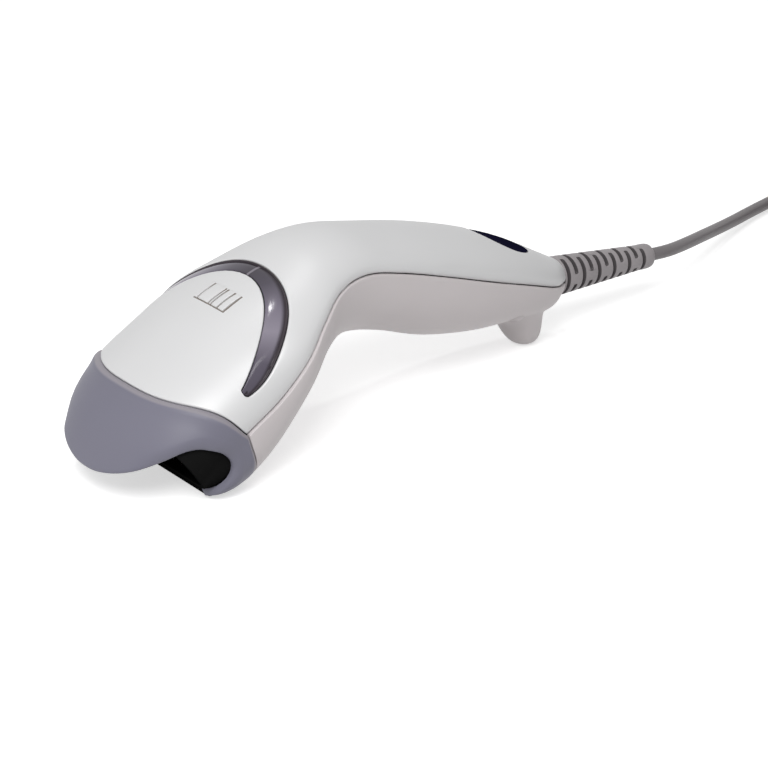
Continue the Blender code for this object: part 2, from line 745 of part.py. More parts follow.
def build_chin(depth):
    """Chin of the shroud, flush with the belly between the bumper's cheeks."""
    step = FIT_GAP / HEAD_HALF * 90.0
    angles = spread(180.0 + FOOT_ANGLE + step, 360.0 - FOOT_ANGLE - step, 17)
    rear = SEAM - seam_step()
    front = {a: solve(lambda t: (HEAD_INVERSE @ skin(t, a)).y, -0.3, 4.0, RIM_PLANE) for a in angles}
    outer, inner = [], []
    for share in spread(0.0, 1.0, 5):
        outer.append([skin(front[a] + (rear - front[a]) * share, a) for a in angles])
        inner.append([skin(front[a] + (rear - front[a]) * share, a, depth) for a in angles])
    return wall("chin", outer, inner)


def build_scan_window():
    """Dark plate across the shroud, square to the beam."""
    angles = spread(0.0, 360.0, 41)[:-1]
    inset = BUMPER_WALL + 2 * FIT_GAP + SHROUD_WALL
    rings = [plane_ring(p, inset, angles) for p in (WINDOW_PLANE, WINDOW_PLANE + WINDOW_THICK)]
    return loft("scan_window", rings, "window")


# Press panel, lens and what lies under them


def flex_axis():
    """Middle of the panel's hinge line."""
    crest = crown_over(0.0, FLEX_LINE).z
    side = crown_over(LENS_INNER_HALF * 0.9, FLEX_LINE).z
    return HEAD_MATRIX @ Vector((0.0, FLEX_LINE, (crest + side) / 2 - WALL / 2))


def grip_bars():
    """Raised bars of unequal width on the panel, with a step at the front and none at the rear."""
    total = sum(GRIP_BAR_WIDTHS) + GRIP_BAR_SPACE * (len(GRIP_BAR_WIDTHS) - 1)
    x = -total / 2
    front, rear = GRIP_BAR_FRONT, GRIP_BAR_FRONT + GRIP_BAR_LENGTH
    bars = []
    for number, width in enumerate(GRIP_BAR_WIDTHS):
        rings = []
        for side in (x, x + width):
            low = crown_over(side, front).z
            high = crown_over(side, rear).z
            profile = ((front, low - WALL / 2), (rear, high - WALL / 2), (rear, high + 0.05 * MM),
                       (front, low + GRIP_BAR_HEIGHT))
            rings.append([HEAD_MATRIX @ Vector((side, y, z)) for y, z in profile])
        bars.append(loft(f"grip_bar_{number}", rings))
        x += width + GRIP_BAR_SPACE
    return bars


def build_trigger_panel():
    """Press panel: tongue of the crown inside the crescent, with grip bars and a post over the switch."""
    panel = crown_slab("trigger_panel", 0.0, WALL, "silver", 2.4, 6.0, 20)
    outline = inner_arch(-PANEL_GAP, FLEX_LINE + PANEL_GAP)
    boolean(panel, prism("panel_outline", outline, LENS_LOW, PRISM_HIGH, HEAD_MATRIX), "INTERSECT")
    for bar in grip_bars():
        boolean(panel, bar, "UNION")
    low = PANEL_BOARD_TOP + SEAT_GAP + SWITCH_HEIGHT + PLUNGER_PROUD + SEAT_GAP
    high = crown_over(0.0, SWITCH_Y).z - WALL / 2
    profile = ((low, PANEL_POST_RADIUS), (high, PANEL_POST_RADIUS))
    boolean(panel, turned("panel_post", profile, HEAD_MATRIX @ at_point(0, SWITCH_Y, 0), None, 16), "UNION")
    set_origin(panel, flex_axis())
    for step in panel.modifiers:
        step.name = step.object.name
    return panel


def round_tip(start, end):
    """Half circle from one point to another on the front end of the crescent, without its ends."""
    middle_x, middle_y = (start[0] + end[0]) / 2, (start[1] + end[1]) / 2
    radius = math.dist(start, end) / 2
    first = math.atan2(start[1] - middle_y, start[0] - middle_x)
    turns = [first + math.pi * share for share in spread(0.0, 1.0, 8)[1:-1]]
    return [(middle_x + radius * math.cos(a), middle_y + radius * math.sin(a)) for a in turns]


def build_indicator_lens():
    """Smoky crescent round the panel, a little below the skin."""
    lens = crown_slab("indicator_lens", LENS_RECESS, LENS_THICK, "smoke", 2.4, 6.2, 20)
    outer, inner = outer_arch(0.0, LENS_TIP), inner_arch(0.0, LENS_TIP)
    right = round_tip(inner[0], outer[0])
    left = round_tip(outer[-1], inner[-1])
    outline = outer + left + inner[::-1] + right
    boolean(lens, prism("lens_outline", outline, LENS_LOW, PRISM_HIGH, HEAD_MATRIX), "INTERSECT")
    return lens


def build_panel_board():
    """Board under the panel with its switch, plunger, lamps and screws."""
    low, high = PANEL_BOARD_TOP - BOARD_THICK, PANEL_BOARD_TOP
    half, tail = PANEL_BOARD_HALF, PANEL_BOARD_TAIL_HALF
    outline = [
        (-half, PANEL_BOARD_FRONT), (half, PANEL_BOARD_FRONT), (half, PANEL_BOARD_WAIST),
        (tail, PANEL_BOARD_WAIST), (tail, PANEL_BOARD_REAR), (-tail, PANEL_BOARD_REAR),
        (-tail, PANEL_BOARD_WAIST), (-half, PANEL_BOARD_WAIST),
    ]
    board = prism("panel_board", outline, low, high, HEAD_MATRIX, "board")
    for side in (1, -1):
        place = HEAD_MATRIX @ at_point(side * PANEL_SCREW_X, PANEL_SCREW_Y, low)
        radius = SCREW_SHAFT_RADIUS + SCREW_PLAY
        profile = ((-1 * MM, radius), (3 * MM, radius))
        boolean(board, turned(f"panel_board_hole_{side}", profile, place, None, 12))
    base = PANEL_BOARD_TOP + SEAT_GAP
    half = SWITCH_SIZE / 2
    top = base + SWITCH_HEIGHT
    corner, far = (-half, SWITCH_Y - half, base), (half, SWITCH_Y + half, top)
    switch = box("trigger_switch", corner, far, HEAD_MATRIX, "black")
    well = PLUNGER_SUNK + PLUNGER_TRAVEL + FIT_GAP
    bore = PLUNGER_RADIUS + FIT_GAP
    middle = HEAD_MATRIX @ at_point(0, SWITCH_Y, top)
    boolean(switch, turned("switch_bore", ((-well, bore), (1 * MM, bore)), middle, None, 16))
    profile = ((-PLUNGER_SUNK, PLUNGER_RADIUS), (PLUNGER_PROUD, PLUNGER_RADIUS))
    plunger = turned("switch_plunger", profile, middle, "cream", 16)
    set_origin(plunger, middle.translation)
    sx, sy, sz = LAMP_SIZE
    for name, x in (("lamp_right", LAMP_X), ("lamp_left", -LAMP_X)):
        corner = (x - sx / 2, LAMP_Y - sy / 2, base)
        far = (x + sx / 2, LAMP_Y + sy / 2, base + sz)
        box(name, corner, far, HEAD_MATRIX, "cream")
    for name, x in (("panel_screw_right", PANEL_SCREW_X), ("panel_screw_left", -PANEL_SCREW_X)):
        down = HEAD_MATRIX @ at_point(x, PANEL_SCREW_Y, low) @ Matrix.Rotation(math.pi, 4, "X")
        build_board_screw(name, down)


def build_board_screw(name, matrix):
    """Small pan screw whose head stands on the datum's Z = 0 and whose shaft points to -Z."""
    head = SEAT_GAP + SCREW_HEAD_HEIGHT
    profile = (
        (-BOARD_SCREW_LENGTH, SCREW_SHAFT_RADIUS), (SEAT_GAP, SCREW_SHAFT_RADIUS),
        (SEAT_GAP, SCREW_HEAD_RADIUS), (head * 0.8, SCREW_HEAD_RADIUS), (head, SCREW_HEAD_RADIUS * 0.7),
    )
    return turned(name, profile, matrix, "steel", 12)


def build_housing_screws():
    """Screws from below that hold the two shells together."""
    names = ("housing_screw_front", "housing_screw_rear_right", "housing_screw_rear_left")
    for name, (x, y, t) in zip(names, housing_screws()):
        shelf = belly_height(x, t) + HOUSING_SCREW_SHELF - SEAT_GAP
        tip = section(t).z + SCREW_GRIP
        under = shelf - SCREW_HEAD_HEIGHT
        profile = (
            (under, SCREW_HEAD_RADIUS * 0.8), (under + 0.3 * MM, SCREW_HEAD_RADIUS),
            (shelf, SCREW_HEAD_RADIUS), (shelf, SCREW_SHAFT_RADIUS), (tip, SCREW_SHAFT_RADIUS),
        )
        turned(name, profile, at_point(x, y, 0.0), "steel", 12)


# Scan engine


def build_engine():
    """Chassis with the laser, its clamp, the light sensor and the swinging mirror."""
    build_chassis()
    build_laser()
    build_mirror()
    for name, x in (("engine_screw_right", ENGINE_SCREW_X), ("engine_screw_left", -ENGINE_SCREW_X)):
        build_board_screw(name, HEAD_MATRIX @ at_point(x, ENGINE_SCREW_Y, CHASSIS_FLOOR))


def build_chassis():
    """Moulded tray with side walls, a rear wall and two posts under the panel board."""
    low = CHASSIS_FLOOR - CHASSIS_WALL
    inside = CHASSIS_HALF - CHASSIS_WALL
    step = CHASSIS_REAR - CHASSIS_WALL
    outline = [
        (-CHASSIS_HALF, CHASSIS_FRONT), (-inside, CHASSIS_FRONT), (-inside, step), (inside, step),
        (inside, CHASSIS_FRONT), (CHASSIS_HALF, CHASSIS_FRONT), (CHASSIS_HALF, CHASSIS_REAR),
        (-CHASSIS_HALF, CHASSIS_REAR),
    ]
    foot = low + CHASSIS_FLOOR_PROUD
    chassis = prism("engine_chassis", outline, foot, CHASSIS_SIDE_TOP, HEAD_MATRIX, "black")
    sunk = CHASSIS_WALL / 2
    post_x, post_y = CHASSIS_POST_SIZE
    post_top = PANEL_BOARD_TOP - BOARD_THICK - SEAT_GAP
    floor_edge = inside + sunk
    pieces = [((-floor_edge, CHASSIS_FRONT + sunk, low), (floor_edge, step + sunk, CHASSIS_FLOOR))]
    for side in (1, -1):
        middle = side * CHASSIS_POST_X
        pieces.append((
            (middle - post_x / 2, CHASSIS_REAR - sunk / 2 - post_y, CHASSIS_FLOOR - sunk),
            (middle + post_x / 2, CHASSIS_REAR - sunk / 2, post_top),
        ))
    for number, (corner, far) in enumerate(pieces):
        boolean(chassis, box(f"chassis_{number}", corner, far, HEAD_MATRIX), "UNION")
    for side in (1, -1):
        radius = SCREW_SHAFT_RADIUS + SCREW_PLAY
        place = HEAD_MATRIX @ at_point(side * ENGINE_SCREW_X, ENGINE_SCREW_Y, CHASSIS_FLOOR)
        profile = ((-4 * MM, radius), (2 * MM, radius))
        boolean(chassis, turned(f"chassis_hole_{side}", profile, place, None, 12))


def build_laser():
    """Laser barrel along X in its clamp, with the light sensor on a small board above the beam."""
    along_x = HEAD_MATRIX @ at_point(0, OPTIC_Y, OPTIC_HEIGHT) @ Matrix.Rotation(math.pi / 2, 4, "Y")
    profile = (
        (LASER_REAR, LASER_RADIUS), (LASER_FRONT - 1 * MM, LASER_RADIUS),
        (LASER_FRONT - 1 * MM, LASER_RADIUS * 0.8), (LASER_FRONT, LASER_RADIUS * 0.8),
    )
    turned("laser_module", profile, along_x, "brass", 16)
    bore = LASER_RADIUS + SEAT_GAP
    half = bore + CLAMP_SIDE
    clamp = box(
        "laser_clamp", (CLAMP_REAR, OPTIC_Y - half, CHASSIS_FLOOR + SEAT_GAP),
        (CLAMP_FRONT, OPTIC_Y + half, OPTIC_HEIGHT + half), HEAD_MATRIX, "black",
    )
    profile = ((CLAMP_REAR - 1 * MM, bore), (CLAMP_FRONT + 1 * MM, bore))
    boolean(clamp, turned("clamp_bore", profile, along_x, None, 16))
    front = CLAMP_FRONT + SEAT_GAP
    low = OPTIC_HEIGHT + LASER_RADIUS + FIT_GAP
    high = PANEL_BOARD_TOP - BOARD_THICK - FIT_GAP
    back = front + 1 * MM
    box("sensor_board", (front, OPTIC_Y - half, low), (back, OPTIC_Y + half, high), HEAD_MATRIX, "board")
    face = back + SEAT_GAP
    box(
        "light_sensor", (face, OPTIC_Y - 2 * MM, low + 0.6 * MM),
        (face + 1.5 * MM, OPTIC_Y + 2 * MM, low + 3.6 * MM), HEAD_MATRIX, "black",
    )


def mirror_datum():
    """Datum at the mirror's middle: X across the mirror, Y to its back, Z along the pivot."""
    return HEAD_MATRIX @ at_point(0, OPTIC_Y, OPTIC_HEIGHT) @ Matrix.Rotation(math.radians(-45), 4, "Z")


def build_mirror():
    """Mirror on a carrier that swings on a pin, with its magnet and drive coil."""
    datum = mirror_datum()
    half_width, half_height = MIRROR_WIDTH / 2, MIRROR_HEIGHT / 2
    pivot = datum @ Vector((0, PIVOT_OFFSET, 0))
    half_thick = MIRROR_THICK / 2
    corner = Vector((half_width, half_thick, half_height))
    mirror = box("scan_mirror", -corner, corner, datum, "mirror")
    back = half_thick + SEAT_GAP
    across = half_width - 1 * MM
    inner = half_height - 1 * MM
    plate = (-across, back, -inner), (across, back + CARRIER_PLATE, inner)
    carrier = box("mirror_carrier", *plate, datum, "cream")
    hub_matrix = datum @ at_point(0, PIVOT_OFFSET, 0)
    hub_low, hub_high = -half_height + 1.5 * MM, half_height - 3 * MM
    arm = PIVOT_OFFSET + MAGNET_ARM - MAGNET_SIZE / 2 - SEAT_GAP
    arm_x, arm_z = CARRIER_ARM_SIZE[0] / 2, CARRIER_ARM_SIZE[1] / 2
    parts = (
        turned("carrier_hub", ((hub_low, HUB_RADIUS), (hub_high, HUB_RADIUS)), hub_matrix),
        box("carrier_arm", (-arm_x, back + CARRIER_PLATE / 2, -arm_z), (arm_x, arm, arm_z), datum),
    )
    for part in parts:
        boolean(carrier, part, "UNION")
    bore = PIVOT_RADIUS + PIVOT_PLAY
    boolean(carrier, turned("carrier_bore", ((-20 * MM, bore), (20 * MM, bore)), hub_matrix))
    start = PIVOT_OFFSET + MAGNET_ARM - MAGNET_SIZE / 2
    half = MAGNET_SIZE / 2
    magnet = box("drive_magnet", (-half, start, -half), (half, start + MAGNET_SIZE, half), datum, "steel")
    for item in (mirror, carrier, magnet):
        set_origin(item, pivot)
    floor = CHASSIS_FLOOR + SEAT_GAP - OPTIC_HEIGHT
    turned("pivot_pin", ((floor, PIVOT_RADIUS), (half_height, PIVOT_RADIUS)), hub_matrix, "steel")
    build_drive_coil(datum, start + MAGNET_SIZE, floor)


def build_drive_coil(datum, start, floor):
    """Wound block behind the magnet, on a foot that stands on the chassis."""
    width, depth, height = COIL_BLOCK
    near = start + 1.2 * MM
    corner, opposite = (-width / 2, near, -height / 2), (width / 2, near + depth, height / 2)
    coil = box("drive_coil", corner, opposite, datum, "copper")
    foot = box(
        "coil_foot", (-width / 3, near + depth * 0.2, floor), (width / 3, near + depth * 0.8, 0.0), datum
    )
    boolean(coil, foot, "UNION")
    corner, opposite = (-width / 5, near - 1 * MM, -height / 6), (width / 5, near + depth / 2, height / 6)
    boolean(coil, box("coil_core", corner, opposite, datum))


# Main board and cord in the handle


def main_board_length():
    """Length of the main board, which follows the handle's length."""
    return HANDLE_LENGTH / math.cos(math.radians(HANDLE_TILT)) - MAIN_BOARD_FRONT - MAIN_BOARD_END_SPACE


def main_board_screws():
    """Places of the two main board screws in the handle datum."""
    rear = MAIN_BOARD_FRONT + main_board_length() - MAIN_SCREW_INSET
    x = MAIN_BOARD_WIDTH / 2 - MAIN_SCREW_EDGE
    return ((x, MAIN_BOARD_FRONT + MAIN_SCREW_INSET), (-x, rear - SOCKET_SIZE[1]))


def build_main_board():
    """Main board with its chip, beeper and cord socket."""
    length = main_board_length()
    half = MAIN_BOARD_WIDTH / 2
    rear = MAIN_BOARD_FRONT + length
    board = box(
        "main_board", (-half, MAIN_BOARD_FRONT, -BOARD_THICK), (half, rear, 0.0), HANDLE_MATRIX, "board"
    )
    for number, (x, y) in enumerate(main_board_screws()):
        radius = SCREW_SHAFT_RADIUS + SCREW_PLAY
        place = HANDLE_MATRIX @ at_point(x, y, 0.0)
        boolean(board, turned(f"main_hole_{number}", ((-3 * MM, radius), (1 * MM, radius)), place, None, 12))
    for name, (x, y) in zip(("main_screw_front", "main_screw_rear"), main_board_screws()):
        build_board_screw(name, HANDLE_MATRIX @ at_point(x, y, 0.0))
    chip = CHIP_SIZE / 2
    chip_y = MAIN_BOARD_FRONT + 0.25 * length
    corner = (-CHIP_OFFSET - chip, chip_y - chip, SEAT_GAP)
    opposite = (-CHIP_OFFSET + chip, chip_y + chip, SEAT_GAP + CHIP_HEIGHT)
    box("decoder_chip", corner, opposite, HANDLE_MATRIX, "black")
    build_beeper(MAIN_BOARD_FRONT + 0.55 * length)
    build_cord_socket(rear)


def build_beeper(y):
    """Round beeper with a sound hole in its top."""
    place = HANDLE_MATRIX @ at_point(2 * MM, y, SEAT_GAP)
    edge = 0.5 * MM
    profile = (
        (0.0, BEEPER_RADIUS), (BEEPER_HEIGHT - edge, BEEPER_RADIUS), (BEEPER_HEIGHT, BEEPER_RADIUS - edge),
    )
    beeper = turned("beeper", profile, place, "black")
    hole = turned("beeper_hole", ((1.5 * MM, 1.2 * MM), (8 * MM, 1.2 * MM)), place, None, 12)
    boolean(beeper, hole)


def build_cord_socket(rear):
    """Socket on the board's end and the cord's connector in it."""
    sx, sy, sz = SOCKET_SIZE
    cx, cy, cz = CONNECTOR_SIZE
    low = SEAT_GAP
    front = rear - sy
    socket = box("cord_socket", (-sx / 2, front, low), (sx / 2, rear, low + sz), HANDLE_MATRIX, "black")
    base = low + (sz - cz) / 2
    gap = FIT_GAP
    corner = (-cx / 2 - gap, rear - cy * 0.6, base - gap)
    opposite = (cx / 2 + gap, rear + 1 * MM, base + cz + gap)
    boolean(socket, box("socket_pocket", corner, opposite, HANDLE_MATRIX))
    start = rear - cy * 0.6 + gap
    box("cord_connector", (-cx / 2, start, base), (cx / 2, start + cy, base + cz), HANDLE_MATRIX, "cream")
    end = HANDLE_MATRIX @ Vector((0, start + cy + FIT_GAP, base + cz / 2))
    build_inner_cable(end)


def relief_datum():
    """Datum on the rear face of the handle: Z runs out along the strain relief."""
    out = Matrix.Rotation(math.radians(RELIEF_TILT), 4, "X") @ Matrix.Rotation(-math.pi / 2, 4, "X")
    return Matrix.Translation(Vector((0, REAR_Y, section(TAIL).z))) @ out


def tube(name, points, colour, radius=CABLE_RADIUS, resolution=2):
    """Round cable through points, with closed ends."""
    curve = bpy.data.curves.new(name, "CURVE")
    curve.dimensions = "3D"
    curve.bevel_depth = radius
    curve.bevel_resolution = resolution
    curve.use_fill_caps = True
    line = curve.splines.new("POLY")
    line.points.add(len(points) - 1)
    for spot, point in zip(line.points, points):
        spot.co = (*point, 1.0)
    item = bpy.data.objects.new(name, curve)
    bpy.context.collection.objects.link(item)
    paint(item, colour)
    return item


def smooth_route(points, spacing):
    """Points along a smooth curve through the route, about a spacing apart."""
    columns = list(zip(*points))
    steps = spread(0.0, len(points) - 1.0, 40 * len(points))
    fine = [Vector([smooth_value(c, t) for c in columns]) for t in steps]
    kept = [fine[0]]
    run = 0.0
    for before, after in zip(fine, fine[1:]):
        run += (after - before).length
        if run >= spacing:
            kept.append(after)
            run = 0.0
    if (kept[-1] - fine[-1]).length < spacing / 2 and len(kept) > 2:
        kept.pop()
    kept.append(fine[-1])
    return kept


def build_inner_cable(start):
    """Short stretch of cable between the connector and the strain relief."""
    datum = relief_datum()
    end = datum @ Vector((0, 0, -relief_flange()[1] - FIT_GAP))
    back = (datum @ Vector((0, 0, -1)) - datum @ Vector((0, 0, 0))).normalized()
    ahead = (HANDLE_MATRIX.to_3x3() @ Vector((0, 1, 0))).normalized()
    lead = 2 * CABLE_RADIUS
    route = [start, start + ahead * lead, end + back * lead, end]
    tube("inner_cable", smooth_route(route, 2.2 * CABLE_RADIUS), "cable_grey")


def relief_flange():
    """Near and far depth of the strain relief's flange behind the handle's rear face."""
    near = WALL + 2.2 * MM
    return near, near + 1.6 * MM


def build_strain_relief():
    """Tapered relief with staggered slots, a neck through the handle's end and a flange behind it."""
    near, far = relief_flange()
    base = FIT_GAP + SEAT_GAP
    tip = RELIEF_LENGTH
    collar = tip - RELIEF_COLLAR
    profile = (
        (-far, RELIEF_FLANGE_RADIUS), (-near, RELIEF_FLANGE_RADIUS),
        (-near, RELIEF_NECK_RADIUS), (base, RELIEF_NECK_RADIUS),
        (base, RELIEF_BASE_RADIUS * 0.97), (base + 0.4 * MM, RELIEF_BASE_RADIUS),
        (collar, RELIEF_TIP_RADIUS + 0.2 * MM), (collar + 0.4 * MM, RELIEF_TIP_RADIUS),
        (tip - 0.8 * MM, RELIEF_TIP_RADIUS), (tip, RELIEF_TIP_RADIUS * 0.8),
    )
    datum = relief_datum()
    relief = turned("strain_relief", profile, datum, "cable_grey")
    reach = 2 * RELIEF_BASE_RADIUS
    slots = []
    for row in range(RELIEF_ROWS):
        z = RELIEF_FIRST_ROW + row * RELIEF_ROW_PITCH
        turn = Matrix.Rotation(math.pi / 2 * (row % 2), 4, "Z")
        for side in (1, -1):
            edge = sorted((side * RELIEF_WEB, side * reach))
            slots.append(((edge[0], -reach, z), (edge[1], reach, z + RELIEF_SLOT), datum @ turn))
    for number, (corner, far_corner, matrix) in enumerate(slots):
        boolean(relief, box(f"relief_slot_{number}", corner, far_corner, matrix))
    return relief


# Cable, coil and plug


def coil_level(layer):
    """Height of the cable's middle in a layer of the coil."""
    return TIE_THICK + FIT_GAP + CABLE_RADIUS + layer * COIL_PITCH


def coil_points():
    """One unbroken spiral that goes in and out layer by layer and climbs where it turns back."""
    half_band = COIL_PITCH * COIL_TURNS / 2
    turning = 0.5
    winding = COIL_TURNS - turning
    steps = round((COIL_TURNS * COIL_LAYERS - COIL_SHORT) * LOOP_POINTS)
    points = []
    for k in range(steps + 1):
        turns = k / LOOP_POINTS
        layer = min(int(turns // COIL_TURNS), COIL_LAYERS - 1)
        within = turns - layer * COIL_TURNS
        inward = 1 if layer % 2 == 0 else -1
        last = layer == COIL_LAYERS - 1
        across = min(within, winding) if not last else within
        radius = COIL_RADIUS + inward * (half_band - COIL_PITCH * turning / 2 - COIL_PITCH * across)
        climb = 0.0 if last else max(0.0, within - winding) / turning
        angle = math.pi - math.tau * turns
        points.append(COIL_CENTRE + Vector((
            radius * math.cos(angle), radius * math.sin(angle), coil_level(layer + climb),
        )))
    return points


def least_gap(points):
    """Least distance between parts of the coil that are more than half a turn apart, less the cable."""
    least = 1.0
    for i, first in enumerate(points):
        for second in points[i + LOOP_POINTS // 2:]:
            least = min(least, (first - second).length)
    return least - 2 * CABLE_RADIUS


def build_cable():
    """Lead from the strain relief to the coil, the coil, its tie, and the tail to the plug."""
    loops = coil_points()
    print(f"cable coil least gap to itself: {least_gap(loops) / MM:.2f} mm")
    tube("cable_coil", loops, "cable_grey", resolution=1)
    datum = relief_datum()
    out = (datum @ Vector((0, 0, 1)) - datum @ Vector((0, 0, 0))).normalized()
    start = datum @ Vector((0, 0, RELIEF_LENGTH + FIT_GAP))
    arrive = (loops[1] - loops[0]).normalized()
    end = loops[0] - arrive * 1.5 * FIT_GAP
    straight = 3 * CABLE_RADIUS
    middle = [Vector((x, REAR_Y + behind, z)) for x, behind, z in CABLE_ROUTE]
    route = [start, start + out * straight, *middle, end - arrive * straight, end]
    lead = smooth_route(route, 5 * CABLE_RADIUS)
    tube("cable_lead", lead, "cable_grey")
    leave = (loops[-1] - loops[-2]).normalized()
    tail_start = loops[-1] + leave * 1.5 * FIT_GAP
    plug = plug_datum()
    behind = [1.5 * FIT_GAP + run * CABLE_RADIUS for run in (5.0, 2.5, 0.0)]
    entry = [plug @ Vector((0, -PLUG_ENTRY - distance, 0)) for distance in behind]
    route = [tail_start, tail_start + leave * 2 * CABLE_RADIUS, *entry]
    tail = smooth_route(route, 2 * CABLE_RADIUS)
    tube("cable_tail", tail, "cable_grey")
    length = sum((b - a).length for line in (lead, loops, tail) for a, b in zip(line, line[1:]))
    print(f"cable length: {length:.3f} m")
    build_tie()


def build_tie():
    """Band round the coil's turns at one place."""
    angle = math.radians(TIE_ANGLE)
    datum = Matrix.Translation(COIL_CENTRE) @ Matrix.Rotation(angle, 4, "Z")
    band = COIL_PITCH * (COIL_TURNS - 0.5) / 2 + CABLE_RADIUS
    low, high = coil_level(0) - CABLE_RADIUS, coil_level(COIL_LAYERS - 1) + CABLE_RADIUS
    gap = FIT_GAP + 0.2 * MM

    def outline(grow):
        near, away = COIL_RADIUS - band - grow, COIL_RADIUS + band + grow
        under, over = max(low - grow, 0.0), high + grow
        return [(near, under), (away, under), (away, over), (near, over)]

    outer, inner = [], []
    for y in (-TIE_WIDTH / 2, TIE_WIDTH / 2):
        outer.append([datum @ Vector((x, y, z)) for x, z in outline(gap + TIE_THICK)])
        inner.append([datum @ Vector((x, y, z)) for x, z in outline(FIT_GAP)])
    return wall("cable_tie", outer, inner, "black", ring=True)


def plug_datum():
    """Datum at the plug's rear: Y runs to its tip, Z is up."""
    place = Vector((coil_points()[-1].x, REAR_Y + PLUG_BEHIND, PLUG_GRIP_SIZE[2] / 2))
    return Matrix.Translation(place) @ Matrix.Rotation(math.pi, 4, "Z")


def rounded(half_x, half_z, corner, count=4):
    """Outline of a box with round corners in X and Z."""
    outline = []
    for number, (sx, sz) in enumerate(((1, 1), (-1, 1), (-1, -1), (1, -1))):
        for angle in spread(number * 90.0, number * 90.0 + 90.0, count):
            a = math.radians(angle)
            outline.append((
                sx * (half_x - corner) + corner * math.cos(a), sz * (half_z - corner) + corner * math.sin(a),
            ))
    return outline


def along_y(outline, y, datum):
    """Ring of an X, Z outline at a place along the datum's Y."""
    return [datum @ Vector((x, y, z)) for x, z in outline]


def build_plug():
    """USB plug: moulded grip, metal shell and the tongue in it."""
    datum = plug_datum()
    width, length, height = PLUG_GRIP_SIZE
    half_x, half_z = width / 2, height / 2
    neck = 1.6 * CABLE_RADIUS
    stations = (
        (-PLUG_ENTRY, neck, neck, 0.9), (0.0, neck * 1.1, neck * 1.1, 0.9),
        (0.5 * MM, half_x * 0.72, half_z * 0.9, 0.6), (length * 0.25, half_x * 0.95, half_z, 0.45),
        (length, half_x, half_z, 0.45),
    )
    rings = [along_y(rounded(x, z, min(x, z) * share), y, datum) for y, x, z, share in stations]
    loft("plug_grip", rings, "cable_grey")
    sx, sy, sz = PLUG_SHELL_SIZE
    gap = SEAT_GAP
    ends = (length + gap, length + gap + sy)
    outer = [along_y(rounded(sx / 2, sz / 2, 0.5 * MM), y, datum) for y in ends]
    inside = PLUG_SHELL_WALL
    inner = [along_y(rounded(sx / 2 - inside, sz / 2 - inside, 0.25 * MM), y, datum) for y in ends]
    wall("plug_shell", outer, inner, "steel", ring=True)
    clear = inside + SEAT_GAP
    low = -sz / 2 + clear
    corner = (-sx / 2 + clear, length + gap, low)
    opposite = (sx / 2 - clear, length + gap + sy * 0.9, low + PLUG_TONGUE_THICK)
    box("plug_tongue", corner, opposite, datum, "cream")


def build_ribbon():
    """Flat ribbon from the panel board to the main board."""
    start = HEAD_MATRIX @ Vector((0, PANEL_BOARD_REAR + FIT_GAP, PANEL_BOARD_TOP - BOARD_THICK / 2))
    leave = (HEAD_MATRIX.to_3x3() @ Vector((0, 1, 0))).normalized()
    end = HANDLE_MATRIX @ Vector((0, MAIN_BOARD_FRONT - FIT_GAP, -BOARD_THICK / 2))
    arrive = (HANDLE_MATRIX.to_3x3() @ Vector((0, 1, 0))).normalized()
    bend = 0.35 * (end - start).length
    corners = (start, start + leave * bend * 0.5, end - arrive * bend, end)
    rings = []
    for t in spread(0.0, 1.0, 10):
        u = 1 - t
        weights = (u ** 3, 3 * u * u * t, 3 * u * t * t, t ** 3)
        spot = sum((p * w for p, w in zip(corners, weights)), Vector())
        slope = 3 * u * u * (corners[1] - corners[0]) + 6 * u * t * (corners[2] - corners[1])
        slope += 3 * t * t * (corners[3] - corners[2])
        up = Vector((0, -slope.z, slope.y)).normalized() * RIBBON_THICK / 2
        ring = []
        for x, side in ((-1, 1), (1, 1), (1, -1), (-1, -1)):
            ring.append(spot + up * side + Vector((RIBBON_X + x * RIBBON_WIDTH / 2, 0, 0)))
        rings.append(ring)
    return loft("ribbon", rings, "ribbon")


def main():
    """Build every piece."""
    clear_scene()
    build_top_shell()
    build_bottom_shell()
    build_badge()
    build_nose_bumper()
    build_window_shroud()
    build_scan_window()
    build_trigger_panel()
    build_indicator_lens()
    build_panel_board()
    build_engine()
    build_main_board()
    build_ribbon()
    build_housing_screws()
    build_strain_relief()
    build_cable()
    build_plug()


main()
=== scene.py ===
"""Looks of the handheld barcode scanner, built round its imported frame.

Sizes are metres. The housing pieces follow the same lofted form as the frame: stations along the
body, each with a parting point, a crown above it and a belly below it.
"""

import json
import math

import bmesh
import bpy
from mathutils import Matrix, Vector


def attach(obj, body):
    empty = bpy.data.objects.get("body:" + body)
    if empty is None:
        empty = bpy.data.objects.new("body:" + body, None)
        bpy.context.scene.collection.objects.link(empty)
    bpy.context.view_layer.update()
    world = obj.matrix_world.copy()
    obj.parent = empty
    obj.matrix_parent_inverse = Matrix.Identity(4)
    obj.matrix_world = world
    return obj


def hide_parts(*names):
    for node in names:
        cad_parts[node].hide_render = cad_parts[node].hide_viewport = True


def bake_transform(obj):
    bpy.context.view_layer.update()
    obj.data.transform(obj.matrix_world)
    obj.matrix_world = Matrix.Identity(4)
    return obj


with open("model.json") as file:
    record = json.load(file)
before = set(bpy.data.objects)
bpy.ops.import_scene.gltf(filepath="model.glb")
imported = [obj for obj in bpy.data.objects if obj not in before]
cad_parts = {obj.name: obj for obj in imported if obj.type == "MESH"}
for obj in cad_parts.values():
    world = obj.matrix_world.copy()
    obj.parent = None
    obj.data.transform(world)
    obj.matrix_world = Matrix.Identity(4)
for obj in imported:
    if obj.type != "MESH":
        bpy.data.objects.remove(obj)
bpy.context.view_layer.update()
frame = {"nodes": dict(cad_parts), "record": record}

MM = 0.001

